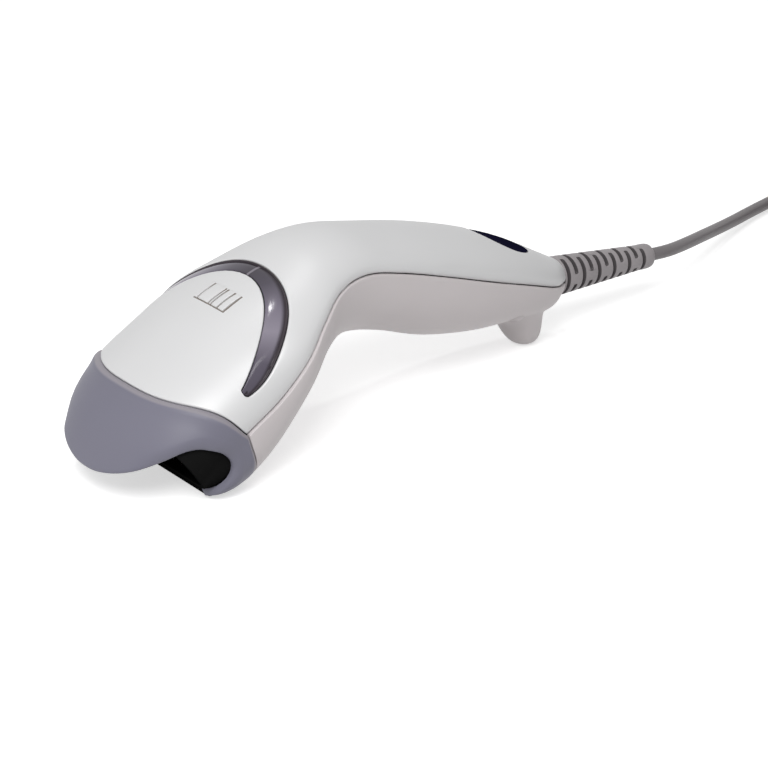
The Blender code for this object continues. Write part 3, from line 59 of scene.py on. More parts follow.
# Driving sizes of the body
BODY_LENGTH = 164.0 * MM
HEAD_LENGTH = 79.7 * MM
HEAD_HALF = 30.5 * MM
GRIP_HALF = 17.5 * MM
LIP_Y = -BODY_LENGTH / 2
REAR_Y = BODY_LENGTH / 2
HEAD_END_Y = LIP_Y + HEAD_LENGTH
HANDLE_LENGTH = BODY_LENGTH - HEAD_LENGTH
HANDLE_DROP = 23.4 * MM
HANDLE_TILT = -math.atan(HANDLE_DROP / HANDLE_LENGTH)
HEAD_TILT = math.radians(33)
HALF_GAP = 0.08 * MM
SHELL_WALL = 1.8 * MM
BUMPER_WALL = 2.2 * MM

# Datums of head and handle
HEAD_DATUM = Matrix.Translation(Vector((0, LIP_Y + 49.7 * MM, 30 * MM)))
HEAD_DATUM = HEAD_DATUM @ Matrix.Rotation(HEAD_TILT, 4, "X")
HEAD_INVERSE = HEAD_DATUM.inverted()
HANDLE_DATUM = Matrix.Translation(Vector((0, HEAD_END_Y, 41 * MM)))
HANDLE_DATUM = HANDLE_DATUM @ Matrix.Rotation(HANDLE_TILT, 4, "X")
HANDLE_INVERSE = HANDLE_DATUM.inverted()

# Points inside the pieces, from which their faces turn away
HEAD_INSIDE = Vector((0, -30 * MM, 10 * MM))
SHELL_INSIDE = Vector((0, 0, 20 * MM))
BELLY_INSIDE = Vector((0, 20 * MM, 28 * MM))
BUMPER_INSIDE = Vector((0, -45 * MM, 12 * MM))
CHIN_INSIDE = Vector((0, -50 * MM, 30 * MM))
SHROUD_INSIDE = Vector((0, -60 * MM, 14 * MM))
BADGE_INSIDE = Vector((0, 0, 0))

FIELDS = (
    "y", "z", "crown_lean", "belly_lean", "half_width", "crown", "belly", "crown_round", "belly_round",
)


def head(distance, z, crown_lean, belly_lean, share, crown, belly, crown_round, belly_round):
    """Station of the head, by its distance behind the lip and its share of the head's width."""
    return (
        LIP_Y + distance * MM, z * MM, crown_lean, belly_lean, share * HEAD_HALF,
        crown * MM, belly * MM, crown_round, belly_round,
    )


def grip(along, z, crown_lean, belly_lean, share, crown, belly, crown_round, belly_round):
    """Station of the handle, by its share of the handle's length and of its width."""
    return (
        HEAD_END_Y + along * HANDLE_LENGTH, z * MM, crown_lean, belly_lean, share * GRIP_HALF,
        crown * MM, belly * MM, crown_round, belly_round,
    )


# Parting height, leans of crown and belly in degrees, width share, crown, belly, roundness
STATIONS = (
    head(17.7, 5.0, 82, -5, 0.910, 20.3, 6.0, 2.55, 3.0),
    head(23.2, 12.8, 71, 4, 0.980, 20.6, 13.5, 2.3, 4.4),
    head(29.9, 18.5, 61, 12, 1.000, 20.2, 18.8, 2.3, 3.4),
    head(40.7, 25.0, 49, 15, 1.000, 18.6, 20.5, 2.2, 2.4),
    head(50.6, 33.3, 40, 18, 0.980, 14.4, 19.0, 2.1, 2.1),
    head(59.1, 39.9, 27, 20, 0.840, 10.5, 16.8, 2.0, 2.2),
    head(68.9, 45.0, 12, 12, 0.669, 9.0, 19.0, 2.0, 2.5),
    grip(0.000, 46.1, 3, 6, 1.023, 8.8, 21.0, 2.0, 2.5),
    grip(0.150, 43.2, -3, 3, 1.000, 9.2, 21.5, 2.0, 2.4),
    grip(0.350, 37.7, -8, -3, 1.000, 10.6, 21.4, 2.1, 2.4),
    grip(0.570, 31.0, -12, -6, 0.949, 11.2, 18.3, 2.2, 2.4),
    grip(0.757, 25.3, -13, -8, 0.834, 9.9, 13.7, 2.2, 2.4),
    grip(0.915, 20.2, -12, -8, 0.640, 7.8, 9.8, 2.2, 2.3),
    grip(1.000, 18.5, -8, -6, 0.380, 5.8, 6.0, 2.1, 2.1),
)
COLUMNS = list(zip(*STATIONS))
TAIL = len(STATIONS) - 1.0
HANDLE_START = 7.0
FINE_STEPS = 120

# Edge of the bumper over the mouth: angle on the section in degrees, station position
HOOD_EDGE = (
    (90, -0.02), (75, 0.09), (60, 0.29), (48, 0.52), (39, 0.76), (32, 0.99), (24, 1.16), (15, 1.20),
    (8, 1.15),
)

# Edge of the bumper beside the mouth: height and distance behind the lip, in millimetres
CHEEK_EDGE = (
    (17.0, 15.9), (16.33, 18.51), (15.3, 21.0), (14.0, 23.0), (12.5, 24.3), (11.0, 25.0), (9.4, 25.3),
    (7.8, 25.2), (6.2, 24.7), (4.8, 23.9), (3.4, 22.8), (2.2, 21.7), (1.0, 20.6), (0.0, 20.1), (-1.0, 20.0),
)
CHEEK_TOP = 15.0
MOUTH_FIRST, MOUTH_LAST = 0.2, 1.7
SEAM = 1.97
CROWN_BOW = 0.72
BELLY_BOW = 0.36
SEAM_STEP = 0.028
CHEEK_ANGLE = 50.0


# The body's form


def smooth_value(values, t):
    """Value at position t on a smooth curve through evenly spaced values."""
    last = len(values) - 2
    i = min(max(math.floor(t), 0), last)
    f = t - i
    b, c = values[i], values[i + 1]
    a = values[i - 1] if i > 0 else 2 * b - c
    d = values[i + 2] if i < last else 2 * c - b
    square = 2 * a - 5 * b + 4 * c - d
    cube = 3 * b - a - 3 * c + d
    return 0.5 * (2 * b + (c - a) * f + square * f ** 2 + cube * f ** 3)


def section(t):
    """The body's section at station position t, by field name."""
    return {name: smooth_value(values, t) for name, values in zip(FIELDS, COLUMNS)}


def skin(t, degrees, inset=0.0, lift=0.0):
    """Point of the skin by station position and angle, 0 at the +X parting line and 90 on the crown."""
    s = section(t)
    angle = math.radians(degrees)
    cosine, sine = math.cos(angle), math.sin(angle)
    half = "crown" if sine >= 0 else "belly"
    lean = math.radians(s[half + "_lean"])
    power = 2 / s[half + "_round"]
    x = (s["half_width"] - inset) * math.copysign(abs(cosine) ** power, cosine)
    h = (s[half] - inset) * math.copysign(abs(sine) ** power, sine) + lift
    return Vector((x, s["y"] - math.sin(lean) * h, max(s["z"] + math.cos(lean) * h, inset)))


def seam_at(degrees):
    """Station position of the bumper seam at an angle: it bows back on both flanks."""
    angle = math.radians(degrees)
    bow = CROWN_BOW if math.sin(angle) > 0 else BELLY_BOW
    return SEAM + bow * abs(math.sin(angle) * math.cos(angle) ** 3)


def curve_slope(table, k):
    """Slope of a smooth curve at one of its points, level at the first."""
    if k == 0:
        return 0.0
    (high, first), (low, last) = table[k - 1], table[min(k + 1, len(table) - 1)]
    return (last - first) / (low - high)


def curve_value(table, place):
    """Value at a place on a smooth curve through a table of falling places."""
    k = 0
    while place < table[k + 1][0] and k < len(table) - 2:
        k += 1
    (high, first), (low, last) = table[k], table[k + 1]
    span = low - high
    f = (place - high) / span
    start, end = span * curve_slope(table, k), span * curve_slope(table, k + 1)
    square = 3 * (last - first) - 2 * start - end
    cube = 2 * (first - last) + start + end
    return first + start * f + square * f ** 2 + cube * f ** 3


def mouth_edge(degrees):
    """Station position of the bumper's mouth edge at an angle, alike on both sides."""
    angle = degrees if degrees <= 90 else 180 - degrees
    if angle >= CHEEK_TOP:
        return curve_value(HOOD_EDGE, angle)

    def behind_edge(t):
        point = skin(t, angle)
        return point.y - LIP_Y - curve_value(CHEEK_EDGE, point.z / MM) * MM

    return solve(behind_edge, MOUTH_FIRST, MOUTH_LAST, 0.0)


def spread(first, last, count):
    """Evenly spaced values from first to last."""
    return [first + (last - first) * k / (count - 1) for k in range(count)]


def solve(function, low, high, target):
    """Where a rising function reaches the target, by halving."""
    for _ in range(24):
        middle = (low + high) / 2
        if function(middle) < target:
            low = middle
        else:
            high = middle
    return (low + high) / 2


def eased(u):
    """Angle share that lies dense round every quarter turn, where the sections are flat or steep."""
    quarter = math.floor(2 * u) if u < 1 else 1
    q = 2 * u - quarter
    return (quarter + q * q * (3 - 2 * q)) / 2


def between(first, last, share):
    """Place part of the way from one place to another."""
    return tuple(a + (b - a) * share for a, b in zip(first, last))


def walk(steps, shares):
    """For shares of a line's length: the step that each falls in, and how far along that step."""
    runs = [0.0]
    for step in steps:
        runs.append(runs[-1] + step)
    places = []
    k = 0
    for share in shares:
        target = runs[-1] * share
        while k < len(steps) - 1 and runs[k + 1] < target:
            k += 1
        places.append((k, (target - runs[k]) / steps[k]))
    return places


def even_angles(t, first, count):
    """Angles of points evenly spaced along half a section, from the first angle on."""
    fine = spread(0.0, 1.0, FINE_STEPS + 1)
    points = [skin(t, first + 180 * eased(u)) for u in fine]
    steps = [(b - a).length for a, b in zip(points, points[1:])]
    places = walk(steps, spread(0.0, 1.0, count))
    return [first + 180 * eased(fine[k] + (fine[k + 1] - fine[k]) * share) for k, share in places]


def evenly(line, count, crowd=0.0):
    """Points spaced along a line of x, y points, closer together at its ends where crowd is above 0."""
    steps = [math.dist(a, b) for a, b in zip(line, line[1:])]
    shares = [u - crowd * math.sin(math.tau * u) / math.tau for u in spread(0.0, 1.0, count)]
    return [between(line[k], line[k + 1], share) for k, share in walk(steps, shares)]


def skin_spot(x, y, half, inverse, low, high):
    """Station position and angle of the crown or belly at x, y of a datum, between two stations."""
    side, level = (1, 0) if half == "crown" else (-1, 360)

    def angle_at(t):
        s = section(t)
        share = min(abs(x) / s["half_width"], 1.0)
        degrees = side * math.degrees(math.acos(share ** (s[half + "_round"] / 2)))
        return level + degrees if x >= 0 else 180 - degrees

    t = solve(lambda value: (inverse @ skin(value, angle_at(value))).y, low, high, y)
    return t, angle_at(t)


def crown_spot(x, y):
    """Station position and angle of the crown over x, y of the head datum."""
    return skin_spot(x, y, "crown", HEAD_INVERSE, 0.0, HANDLE_START)


def handle_spot(x, y):
    """Station position and angle of the crown over x, y of the handle datum."""
    return skin_spot(x, y, "crown", HANDLE_INVERSE, HANDLE_START, TAIL)


def belly_spot(x, y):
    """Station position and angle of the belly under x, y."""
    return skin_spot(x, y, "belly", Matrix.Identity(4), SEAM, TAIL)


# Modelling steps

WELD_REACH = 0.02 * MM
SHARP_EDGE = math.radians(38.0)


def select_only(*items):
    """Select these objects and make the first one active."""
    bpy.ops.object.select_all(action="DESELECT")
    for item in items:
        item.select_set(True)
    bpy.context.view_layer.objects.active = items[0]


def lay_sheet(name, rows):
    """Grid primitive laid over rows of points."""
    bpy.ops.object.select_all(action="DESELECT")
    bpy.ops.mesh.primitive_grid_add(x_subdivisions=len(rows[0]) - 1, y_subdivisions=len(rows) - 1, size=1)
    sheet = bpy.context.active_object
    sheet.name = name
    sheet.data.vertices.foreach_set("co", [value for row in rows for point in row for value in point])
    sheet.data.update()
    return sheet


def weld(name, sheets, inside, reach=WELD_REACH):
    """Join sheets along their shared edges, with the faces turned away from an inner point."""
    select_only(*sheets)
    if len(sheets) > 1:
        bpy.ops.object.join()
    item = bpy.context.active_object
    item.name = name
    item.data.name = name
    bpy.ops.object.mode_set(mode="EDIT")
    bpy.ops.mesh.select_all(action="SELECT")
    bpy.ops.mesh.remove_doubles(threshold=reach)
    bpy.ops.mesh.normals_make_consistent(inside=False)
    bpy.ops.object.mode_set(mode="OBJECT")
    outward = sum(face.normal.dot(face.center - inside) * face.area for face in item.data.polygons)
    if outward < 0:
        item.data.flip_normals()
    return item


def sheet_piece(name, rows, inside=HEAD_INSIDE, reach=WELD_REACH):
    """One sheet laid over rows of points and welded where its edges meet."""
    return weld(name, [lay_sheet(name, rows)], inside, reach)


def apply_modifier(item, kind, **settings):
    """Add a modifier with these settings and apply it."""
    step = item.modifiers.new(kind.lower(), kind)
    for name, value in settings.items():
        setattr(step, name, value)
    select_only(item)
    bpy.ops.object.modifier_apply(modifier=step.name)


def thicken(item, wall):
    """Give a sheet its wall, inwards."""
    apply_modifier(item, "SOLIDIFY", thickness=wall, offset=-1.0, use_even_offset=True)


def round_edges(item, width, segments=3, where=None):
    """Round the sharp edges, all of them or those whose ends both lie where the test says."""
    shape = bmesh.new()
    shape.from_mesh(item.data)
    weight = shape.edges.layers.float.get("bevel_weight_edge")
    if weight is None:
        weight = shape.edges.layers.float.new("bevel_weight_edge")
    for edge in shape.edges:
        sharp = edge.is_manifold and edge.calc_face_angle() > SHARP_EDGE
        wanted = sharp and (where is None or all(where(v.co) for v in edge.verts))
        edge[weight] = 1.0 if wanted else 0.0
    shape.to_mesh(item.data)
    shape.free()
    apply_modifier(
        item, "BEVEL", width=width, segments=segments, limit_method="WEIGHT", use_clamp_overlap=False,
    )


def cut(item, tool, operation="DIFFERENCE"):
    """Cut with a tool piece, or join it on; the tool's own object is then thrown away."""
    apply_modifier(item, "BOOLEAN", object=tool, operation=operation, solver="MANIFOLD")
    bpy.data.objects.remove(tool)


def block(name, size, middle, turn=0.0):
    """Plain block by its size and its middle, turned about Z."""
    bpy.ops.object.select_all(action="DESELECT")
    bpy.ops.mesh.primitive_cube_add(size=1, location=middle, rotation=(0, 0, turn))
    item = bpy.context.active_object
    item.name = name
    item.scale = size
    bpy.ops.object.transform_apply(location=True, rotation=True, scale=True)
    return item


def box_piece(name, low, high, place):
    """Plain block between two corners in a datum, to cut with or to be finished further."""
    middle = [(a + b) / 2 for a, b in zip(low, high)]
    item = block(name, [b - a for a, b in zip(low, high)], middle)
    item.data.transform(place)
    return item


def turned_piece(name, profile, matrix, sides=32):
    """Closed turned solid from (height, radius) pairs round the datum's Z."""
    rows = []
    for z, radius in profile:
        turns = [math.tau * k / sides for k in range(sides + 1)]
        rows.append([matrix @ Vector((radius * math.cos(a), radius * math.sin(a), z)) for a in turns])
    middle = matrix @ Vector((0, 0, (profile[0][0] + profile[-1][0]) / 2))
    return sheet_piece(name, rows, middle, 0.004 * MM)


def mark_lie(sheet, columns, shares):
    """Give a sheet the UV map "lie": the share along it, and one value for each of its rows."""
    lie = sheet.data.uv_layers.new(name="lie")
    for loop in sheet.data.loops:
        down, along = divmod(loop.vertex_index, columns)
        lie.data[loop.index].uv = (along / (columns - 1), shares[down])
    return lie


def finish_piece(item, look, nodes, body="housing", smooth=35.0):
    """Smooth shading, a look, and the piece's place in the frame."""
    select_only(item)
    bpy.ops.object.shade_smooth_by_angle(angle=math.radians(smooth))
    item.data.materials.clear()
    item.data.materials.append(FINISHES[look].material)
    if body:
        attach(item, body)
    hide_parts(*nodes)
    return item


# Node groups and materials


def moulded_grain_group():
    """Fine mould grain as a height, and broad soft patches as a value."""
    group = bpy.data.node_groups.new("moulded_grain", "ShaderNodeTree")
    side = group.interface.new_socket
    side("Vector", in_out="INPUT", socket_type="NodeSocketVector")
    side("Grain", in_out="INPUT", socket_type="NodeSocketFloat")
    side("Patch", in_out="INPUT", socket_type="NodeSocketFloat")
    side("Height", in_out="OUTPUT", socket_type="NodeSocketFloat")
    side("Tone", in_out="OUTPUT", socket_type="NodeSocketFloat")
    start = group.nodes.new("NodeGroupInput")
    end = group.nodes.new("NodeGroupOutput")
    fine = group.nodes.new("ShaderNodeTexNoise")
    fine.inputs["Detail"].default_value = 3.0
    broad = group.nodes.new("ShaderNodeTexNoise")
    broad.inputs["Detail"].default_value = 2.0
    for noise, scale in ((fine, "Grain"), (broad, "Patch")):
        group.links.new(start.outputs["Vector"], noise.inputs["Vector"])
        group.links.new(start.outputs[scale], noise.inputs["Scale"])
    group.links.new(fine.outputs["Fac"], end.inputs["Height"])
    group.links.new(broad.outputs["Fac"], end.inputs["Tone"])
    return group


GRAIN = moulded_grain_group()
ROUGH_LEAST, ROUGH_MOST = 0.85, 1.15


class Finish:
    """A Principled material whose tone, roughness and relief come from mould grain."""

    def __init__(self, name, light, dark, rough, grain_scale, patch_scale, relief):
        self.material = bpy.data.materials.new(name)
        self.material.use_nodes = True
        self.tree = self.material.node_tree
        self.shader = self.tree.nodes["Principled BSDF"]
        place = self.add("ShaderNodeTexCoord")
        mapping = self.add("ShaderNodeMapping")
        grain = self.add("ShaderNodeGroup")
        grain.node_tree = GRAIN
        grain.inputs["Grain"].default_value = grain_scale
        grain.inputs["Patch"].default_value = patch_scale
        self.join(place.outputs["Object"], mapping.inputs["Vector"])
        self.join(mapping.outputs["Vector"], grain.inputs["Vector"])
        tone = self.add("ShaderNodeMix")
        tone.data_type = "RGBA"
        tone.inputs["A"].default_value = (*dark, 1.0)
        tone.inputs["B"].default_value = (*light, 1.0)
        self.join(grain.outputs["Tone"], tone.inputs["Factor"])
        self.colour = tone.outputs["Result"]
        self.join(self.colour, self.shader.inputs["Base Color"])
        spread_rough = self.add("ShaderNodeMapRange")
        spread_rough.inputs["To Min"].default_value = rough * ROUGH_LEAST
        spread_rough.inputs["To Max"].default_value = min(rough * ROUGH_MOST, 1.0)
        self.join(grain.outputs["Height"], spread_rough.inputs["Value"])
        self.join(spread_rough.outputs["Result"], self.shader.inputs["Roughness"])
        bump = self.add("ShaderNodeBump")
        bump.inputs["Strength"].default_value = 1.0
        bump.inputs["Distance"].default_value = relief * MM
        self.join(grain.outputs["Height"], bump.inputs["Height"])
        self.join(bump.outputs["Normal"], self.shader.inputs["Normal"])

    def add(self, kind):
        """New node in the material."""
        return self.tree.nodes.new(kind)

    def join(self, source, target):
        """Link two sockets."""
        self.tree.links.new(source, target)

    def lie_parts(self):
        """The two parts of the piece's own lie: the share along it, and the share across it."""
        lie = self.add("ShaderNodeUVMap")
        lie.uv_map = "lie"
        parts = self.add("ShaderNodeSeparateXYZ")
        self.join(lie.outputs["UV"], parts.inputs["Vector"])
        return parts.outputs["X"], parts.outputs["Y"]

    def maths(self, operation, value, other=0.0):
        """Value after a sum with a plain number."""
        node = self.add("ShaderNodeMath")
        node.operation = operation
        node.inputs[1].default_value = other
        self.join(value, node.inputs[0])
        return node.outputs["Value"]


# Look: material name, light tone, dark tone, roughness, scales of grain and patches, relief in millimetres
LOOKS = {
    "silver_shell": ("pearl_silver", (0.71, 0.71, 0.715), (0.67, 0.67, 0.675), 0.42, 6000, 30, 0.002),
    # The lower shell's grey is the shell tone made darker and warmer: painted shade of the underside
    "warm_grey_shell": ("lower_shell_painted_shade", (0.645, 0.602, 0.607), (0.60, 0.56, 0.565), 0.5, 3500, 40, 0.006),
    "bumper": ("blue_grey_soft", (0.170, 0.166, 0.215), (0.151, 0.148, 0.194), 0.50, 3000, 40, 0.006),
    "black_plastic": ("matt_black", (0.011, 0.011, 0.011), (0.008, 0.008, 0.008), 0.75, 2500, 60, 0.008),
    "window": ("dark_filter", (0.008, 0.005, 0.006), (0.005, 0.003, 0.004), 0.10, 900, 40, 0.0005),
    "smoke": ("smoke", (1.0, 1.0, 1.0), (0.86, 0.86, 0.86), 0.13, 600, 60, 0.0008),
    # The smoky rim's dark tone is painted shade along the lens's recessed outer edge
    "lens_rim": ("smoky_rim_painted_shade", (0.050, 0.040, 0.048), (0.038, 0.030, 0.037), 0.35, 900, 60, 0.001),
    "badge": ("badge_gloss", (0.013, 0.012, 0.038), (0.006, 0.006, 0.017), 0.30, 700, 60, 0.0006),
    "cable": ("grey_sheath", (0.185, 0.170, 0.175), (0.155, 0.142, 0.147), 0.48, 2200, 60, 0.006),
    "relief": ("relief_sheath", (0.355, 0.328, 0.338), (0.265, 0.245, 0.252), 0.5, 2200, 60, 0.006),
    # The relief slot tone is painted shade deep in the strain relief's slots
    "relief_slot": ("relief_slot_painted_shade", (0.088, 0.080, 0.083), (0.072, 0.065, 0.068), 0.7, 2200, 60, 0.006),
    # The bar bed tone is painted shade in the grooves round the grip bars
    "bar_bed": ("bar_shade", (0.20, 0.17, 0.15), (0.17, 0.145, 0.125), 0.6, 3000, 60, 0.004),
    "tie": ("black_strap", (0.022, 0.022, 0.022), (0.012, 0.012, 0.012), 0.7, 1500, 90, 0.03),
    "board": ("green_board", (0.022, 0.16, 0.065), (0.016, 0.12, 0.05), 0.4, 1200, 200, 0.01),
    "steel": ("plated_steel", (0.62, 0.62, 0.64), (0.56, 0.56, 0.58), 0.28, 4000, 150, 0.003),
    "brass": ("turned_brass", (0.72, 0.53, 0.23), (0.64, 0.46, 0.19), 0.28, 4000, 150, 0.003),
    "copper": ("wound_copper", (0.72, 0.35, 0.19), (0.58, 0.26, 0.13), 0.34, 3000, 900, 0.02),
    "mirror": ("front_mirror", (0.90, 0.90, 0.92), (0.87, 0.87, 0.89), 0.04, 500, 60, 0.0002),
    "cream": ("cream_mould", (0.76, 0.73, 0.63), (0.70, 0.67, 0.57), 0.45, 2500, 80, 0.006),
    "ribbon": ("amber_film", (0.56, 0.27, 0.065), (0.48, 0.22, 0.05), 0.35, 1500, 120, 0.003),
}
FINISHES = {look: Finish(*values) for look, values in LOOKS.items()}

# Plain values on the shaders' own sockets
SHADER_VALUES = {
    "Metallic": {"silver_shell": 0.10, "steel": 1.0, "brass": 1.0, "copper": 1.0, "mirror": 1.0},
    "Specular IOR Level": {
        "silver_shell": 0.18, "black_plastic": 0.0, "window": 0.15, "smoke": 0.22, "lens_rim": 0.2,
        "badge": 0.0,
    },
    "Sheen Weight": {"bumper": 0.06},
    "Sheen Roughness": {"bumper": 0.4},
}
for socket, values in SHADER_VALUES.items():
    for look, value in values.items():
        FINISHES[look].shader.inputs[socket].default_value = value

# Tone of the smoky lens by its distance from the crest, as a share of the whole crescent; the lighter band
# part way down is a painted reflection
SMOKE_TONES_AND_REFLECTION = (
    (0.0, (0.055, 0.047, 0.062)), (0.08, (0.085, 0.075, 0.099)), (0.185, (0.20, 0.18, 0.23)),
    (0.265, (0.28, 0.255, 0.31)), (0.36, (0.11, 0.097, 0.13)), (0.5, (0.088, 0.077, 0.105)),
)

# Where painted shade darkens the lens across towards its outer edge, where its joint at the crest fades out
# and how strongly it shows, their tones
SMOKE_EDGE_SHADE_SPAN = (0.66, 0.90)
SMOKE_EDGE_SHADE = (0.030, 0.023, 0.030)
SMOKE_JOINT = (0.0035, 0.0055, 0.55)
SMOKE_JOINT_TONE = (0.34, 0.31, 0.36)

# Where a painted highlight makes the bumper paler towards its rear edge, and that tone
BEAD_HIGHLIGHT_FADE = (0.20, 0.60)
BEAD_HIGHLIGHT_TONE = (0.27, 0.252, 0.282)


def mixed(finish, factor, base, colour):
    """Colour that goes from a base to a plain colour by a factor."""
    mix = finish.add("ShaderNodeMix")
    mix.data_type = "RGBA"
    mix.inputs["B"].default_value = (*colour, 1.0)
    finish.join(factor, mix.inputs["Factor"])
    finish.join(base, mix.inputs["A"])
    return mix.outputs["Result"]


def eased_range(finish, value, start, end, low=0.0, high=1.0):
    """Value that goes softly from low to high between a start and an end."""
    step = finish.add("ShaderNodeMapRange")
    step.interpolation_type = "SMOOTHSTEP"
    step.inputs["From Min"].default_value = start
    step.inputs["From Max"].default_value = end
    step.inputs["To Min"].default_value = low
    step.inputs["To Max"].default_value = high
    finish.join(value, step.inputs["Value"])
    return step.outputs["Result"]


def tint_smoke():
    """Smoky lens: a painted reflection makes it lightest half way down, painted shade darkens it along its
    outer edge, and a pale joint shows at the crest.
    """
    finish = FINISHES["smoke"]
    along, across = finish.lie_parts()
    distance = finish.maths("ABSOLUTE", finish.maths("SUBTRACT", along, 0.5))
    # The ramp holds the lens's smoky tone and a painted reflection, lightest half way down
    ramp = finish.add("ShaderNodeValToRGB")
    stops = ramp.color_ramp.elements
    while len(stops) < len(SMOKE_TONES_AND_REFLECTION):
        stops.new(0.5)
    for stop, (place, tone) in zip(stops, SMOKE_TONES_AND_REFLECTION):
        stop.position = place
        stop.color = (*tone, 1.0)
    finish.join(distance, ramp.inputs["Fac"])
    body = finish.add("ShaderNodeMix")
    body.data_type = "RGBA"
    body.blend_type = "MULTIPLY"
    body.inputs["Factor"].default_value = 1.0
    finish.join(ramp.outputs["Color"], body.inputs["A"])
    finish.join(finish.colour, body.inputs["B"])
    # Painted shade that darkens the lens towards its outer edge
    wall = eased_range(finish, across, *SMOKE_EDGE_SHADE_SPAN)
    deep = mixed(finish, wall, body.outputs["Result"], SMOKE_EDGE_SHADE)
    line = eased_range(finish, distance, *SMOKE_JOINT, high=0.0)
    finish.join(mixed(finish, line, deep, SMOKE_JOINT_TONE), finish.shader.inputs["Base Color"])


def tint_bumper():
    """Soft blue-grey, with a painted highlight that makes the bead along the rear edge paler."""
    finish = FINISHES["bumper"]
    _, near = finish.lie_parts()
    # Painted highlight on the bead along the rear edge
    bead = eased_range(finish, near, *BEAD_HIGHLIGHT_FADE)
    finish.join(mixed(finish, bead, finish.colour, BEAD_HIGHLIGHT_TONE), finish.shader.inputs["Base Color"])


def paint_frame():
    """Give every frame node its slot's finish."""
    for row in frame["record"]["subparts"]:
        item = frame["nodes"][row["node"]]
        item.data.materials.clear()
        item.data.materials.append(FINISHES[row["material_slot"]].material)


# Camera, floor, even light and lamps

EYE = Vector((0.4766, -0.3687, 0.2877))
AIM = Vector((0.0371, -0.0128, 0.024))
FOCAL_LENGTH = 109.7
SENSOR_WIDTH = 36.0
WHITE = (1.0, 1.0, 1.0, 1.0)
FLOOR_TONE = (0.80, 0.80, 0.80, 1.0)
FLOOR_SIZE = 8.0
FLOOR_DROP = 0.3 * MM
AMBIENT = 0.25
FLOOR_GLOW = 0.60

# Lamp, its place, what it points at, its size in metres and its power in watts
LAMPS = (
    ("key_lamp", (0.45, -0.50, 0.82), (0.0, 0.0, 0.03), 0.50, 7.6),
    ("top_lamp", (-0.32, 0.06, 0.95), (0.0, -0.02, 0.03), 0.07, 0.9),
    ("front_lamp", (-0.45, -0.90, 0.45), (0.0, 0.0, 0.03), 0.60, 1.0),
)


def set_camera():
    """Camera at the photograph's viewing angle."""
    bpy.ops.object.camera_add(location=EYE, rotation=(AIM - EYE).to_track_quat("-Z", "Y").to_euler())
    camera = bpy.context.active_object
    camera.data.lens = FOCAL_LENGTH
    camera.data.sensor_width = SENSOR_WIDTH
    camera.data.clip_start = 0.01
    bpy.context.scene.camera = camera


def set_by_ray(tree, low, high, target):
    """Set a socket high for rays from the camera or by way of gloss or glass, and low for all others."""
    path = tree.nodes.new("ShaderNodeLightPath")
    seen = path.outputs["Is Camera Ray"]
    for name in ("Is Glossy Ray", "Is Transmission Ray"):
        larger = tree.nodes.new("ShaderNodeMath")
        larger.operation = "MAXIMUM"
        tree.links.new(seen, larger.inputs[0])
        tree.links.new(path.outputs[name], larger.inputs[1])
        seen = larger.outputs["Value"]
    level = tree.nodes.new("ShaderNodeMapRange")
    level.inputs["To Min"].default_value = low
    level.inputs["To Max"].default_value = high
    tree.links.new(seen, level.inputs["Value"])
    tree.links.new(level.outputs["Result"], target)


def set_world():
    """White seen behind the object, a softer even light from all round."""
    world = bpy.data.worlds.new("studio")
    bpy.context.scene.world = world
    world.use_nodes = True
    background = world.node_tree.nodes["Background"]
    background.inputs["Color"].default_value = WHITE
    set_by_ray(world.node_tree, AMBIENT, 1.0, background.inputs["Strength"])


def set_floor():
    """Pale floor that keeps the object's shadow and looks white away from it."""
    bpy.ops.object.select_all(action="DESELECT")
    bpy.ops.mesh.primitive_plane_add(size=FLOOR_SIZE, location=(0, 0, -FLOOR_DROP))
    floor = bpy.context.active_object
    floor.name = "floor"
    material = bpy.data.materials.new("pale_floor")
    material.use_nodes = True
    shader = material.node_tree.nodes["Principled BSDF"]
    shader.inputs["Base Color"].default_value = FLOOR_TONE
    shader.inputs["Roughness"].default_value = 0.9
    shader.inputs["Specular IOR Level"].default_value = 0.0
    shader.inputs["Emission Color"].default_value = WHITE
    set_by_ray(material.node_tree, 0.0, FLOOR_GLOW, shader.inputs["Emission Strength"])
    floor.data.materials.append(material)


def add_lamp(name, place, aim, size, power):
    """Square soft lamp that points at a place."""
    place, aim = Vector(place), Vector(aim)
    turn = (aim - place).to_track_quat("-Z", "Y").to_euler()
    bpy.ops.object.light_add(type="AREA", location=place, rotation=turn)
    lamp = bpy.context.active_object
    lamp.name = name
    lamp.data.shape = "SQUARE"
    lamp.data.size = size
    lamp.data.energy = power


# Cord

CABLE_RADIUS = 2.0 * MM
RELIEF_LENGTH = 41.5 * MM
RELIEF_TILT = math.radians(-4.8)
FIT_GAP = 0.3 * MM
COIL_CENTRE = Vector((-2.0 * MM, REAR_Y + 167.2 * MM, 0.0))
COIL_RADIUS = 24.0 * MM
COIL_PITCH = 5.0 * MM
COIL_TURNS = 3
COIL_LAYERS = 4
COIL_SHORT = 0.5
LOOP_POINTS = 48
TIE_THICK = 0.6 * MM
ROUTE_STEPS = 40
LEAD_SPACING = 3.0 * MM
TAIL_SPACING = 2.0 * MM
CABLE_INSIDE = 6.0 * MM
PLUG_ENTRY = 6.0 * MM
PLUG_BEHIND = 120.2 * MM
PLUG_GRIP_SIZE = (15.6 * MM, 27.0 * MM, 8.4 * MM)

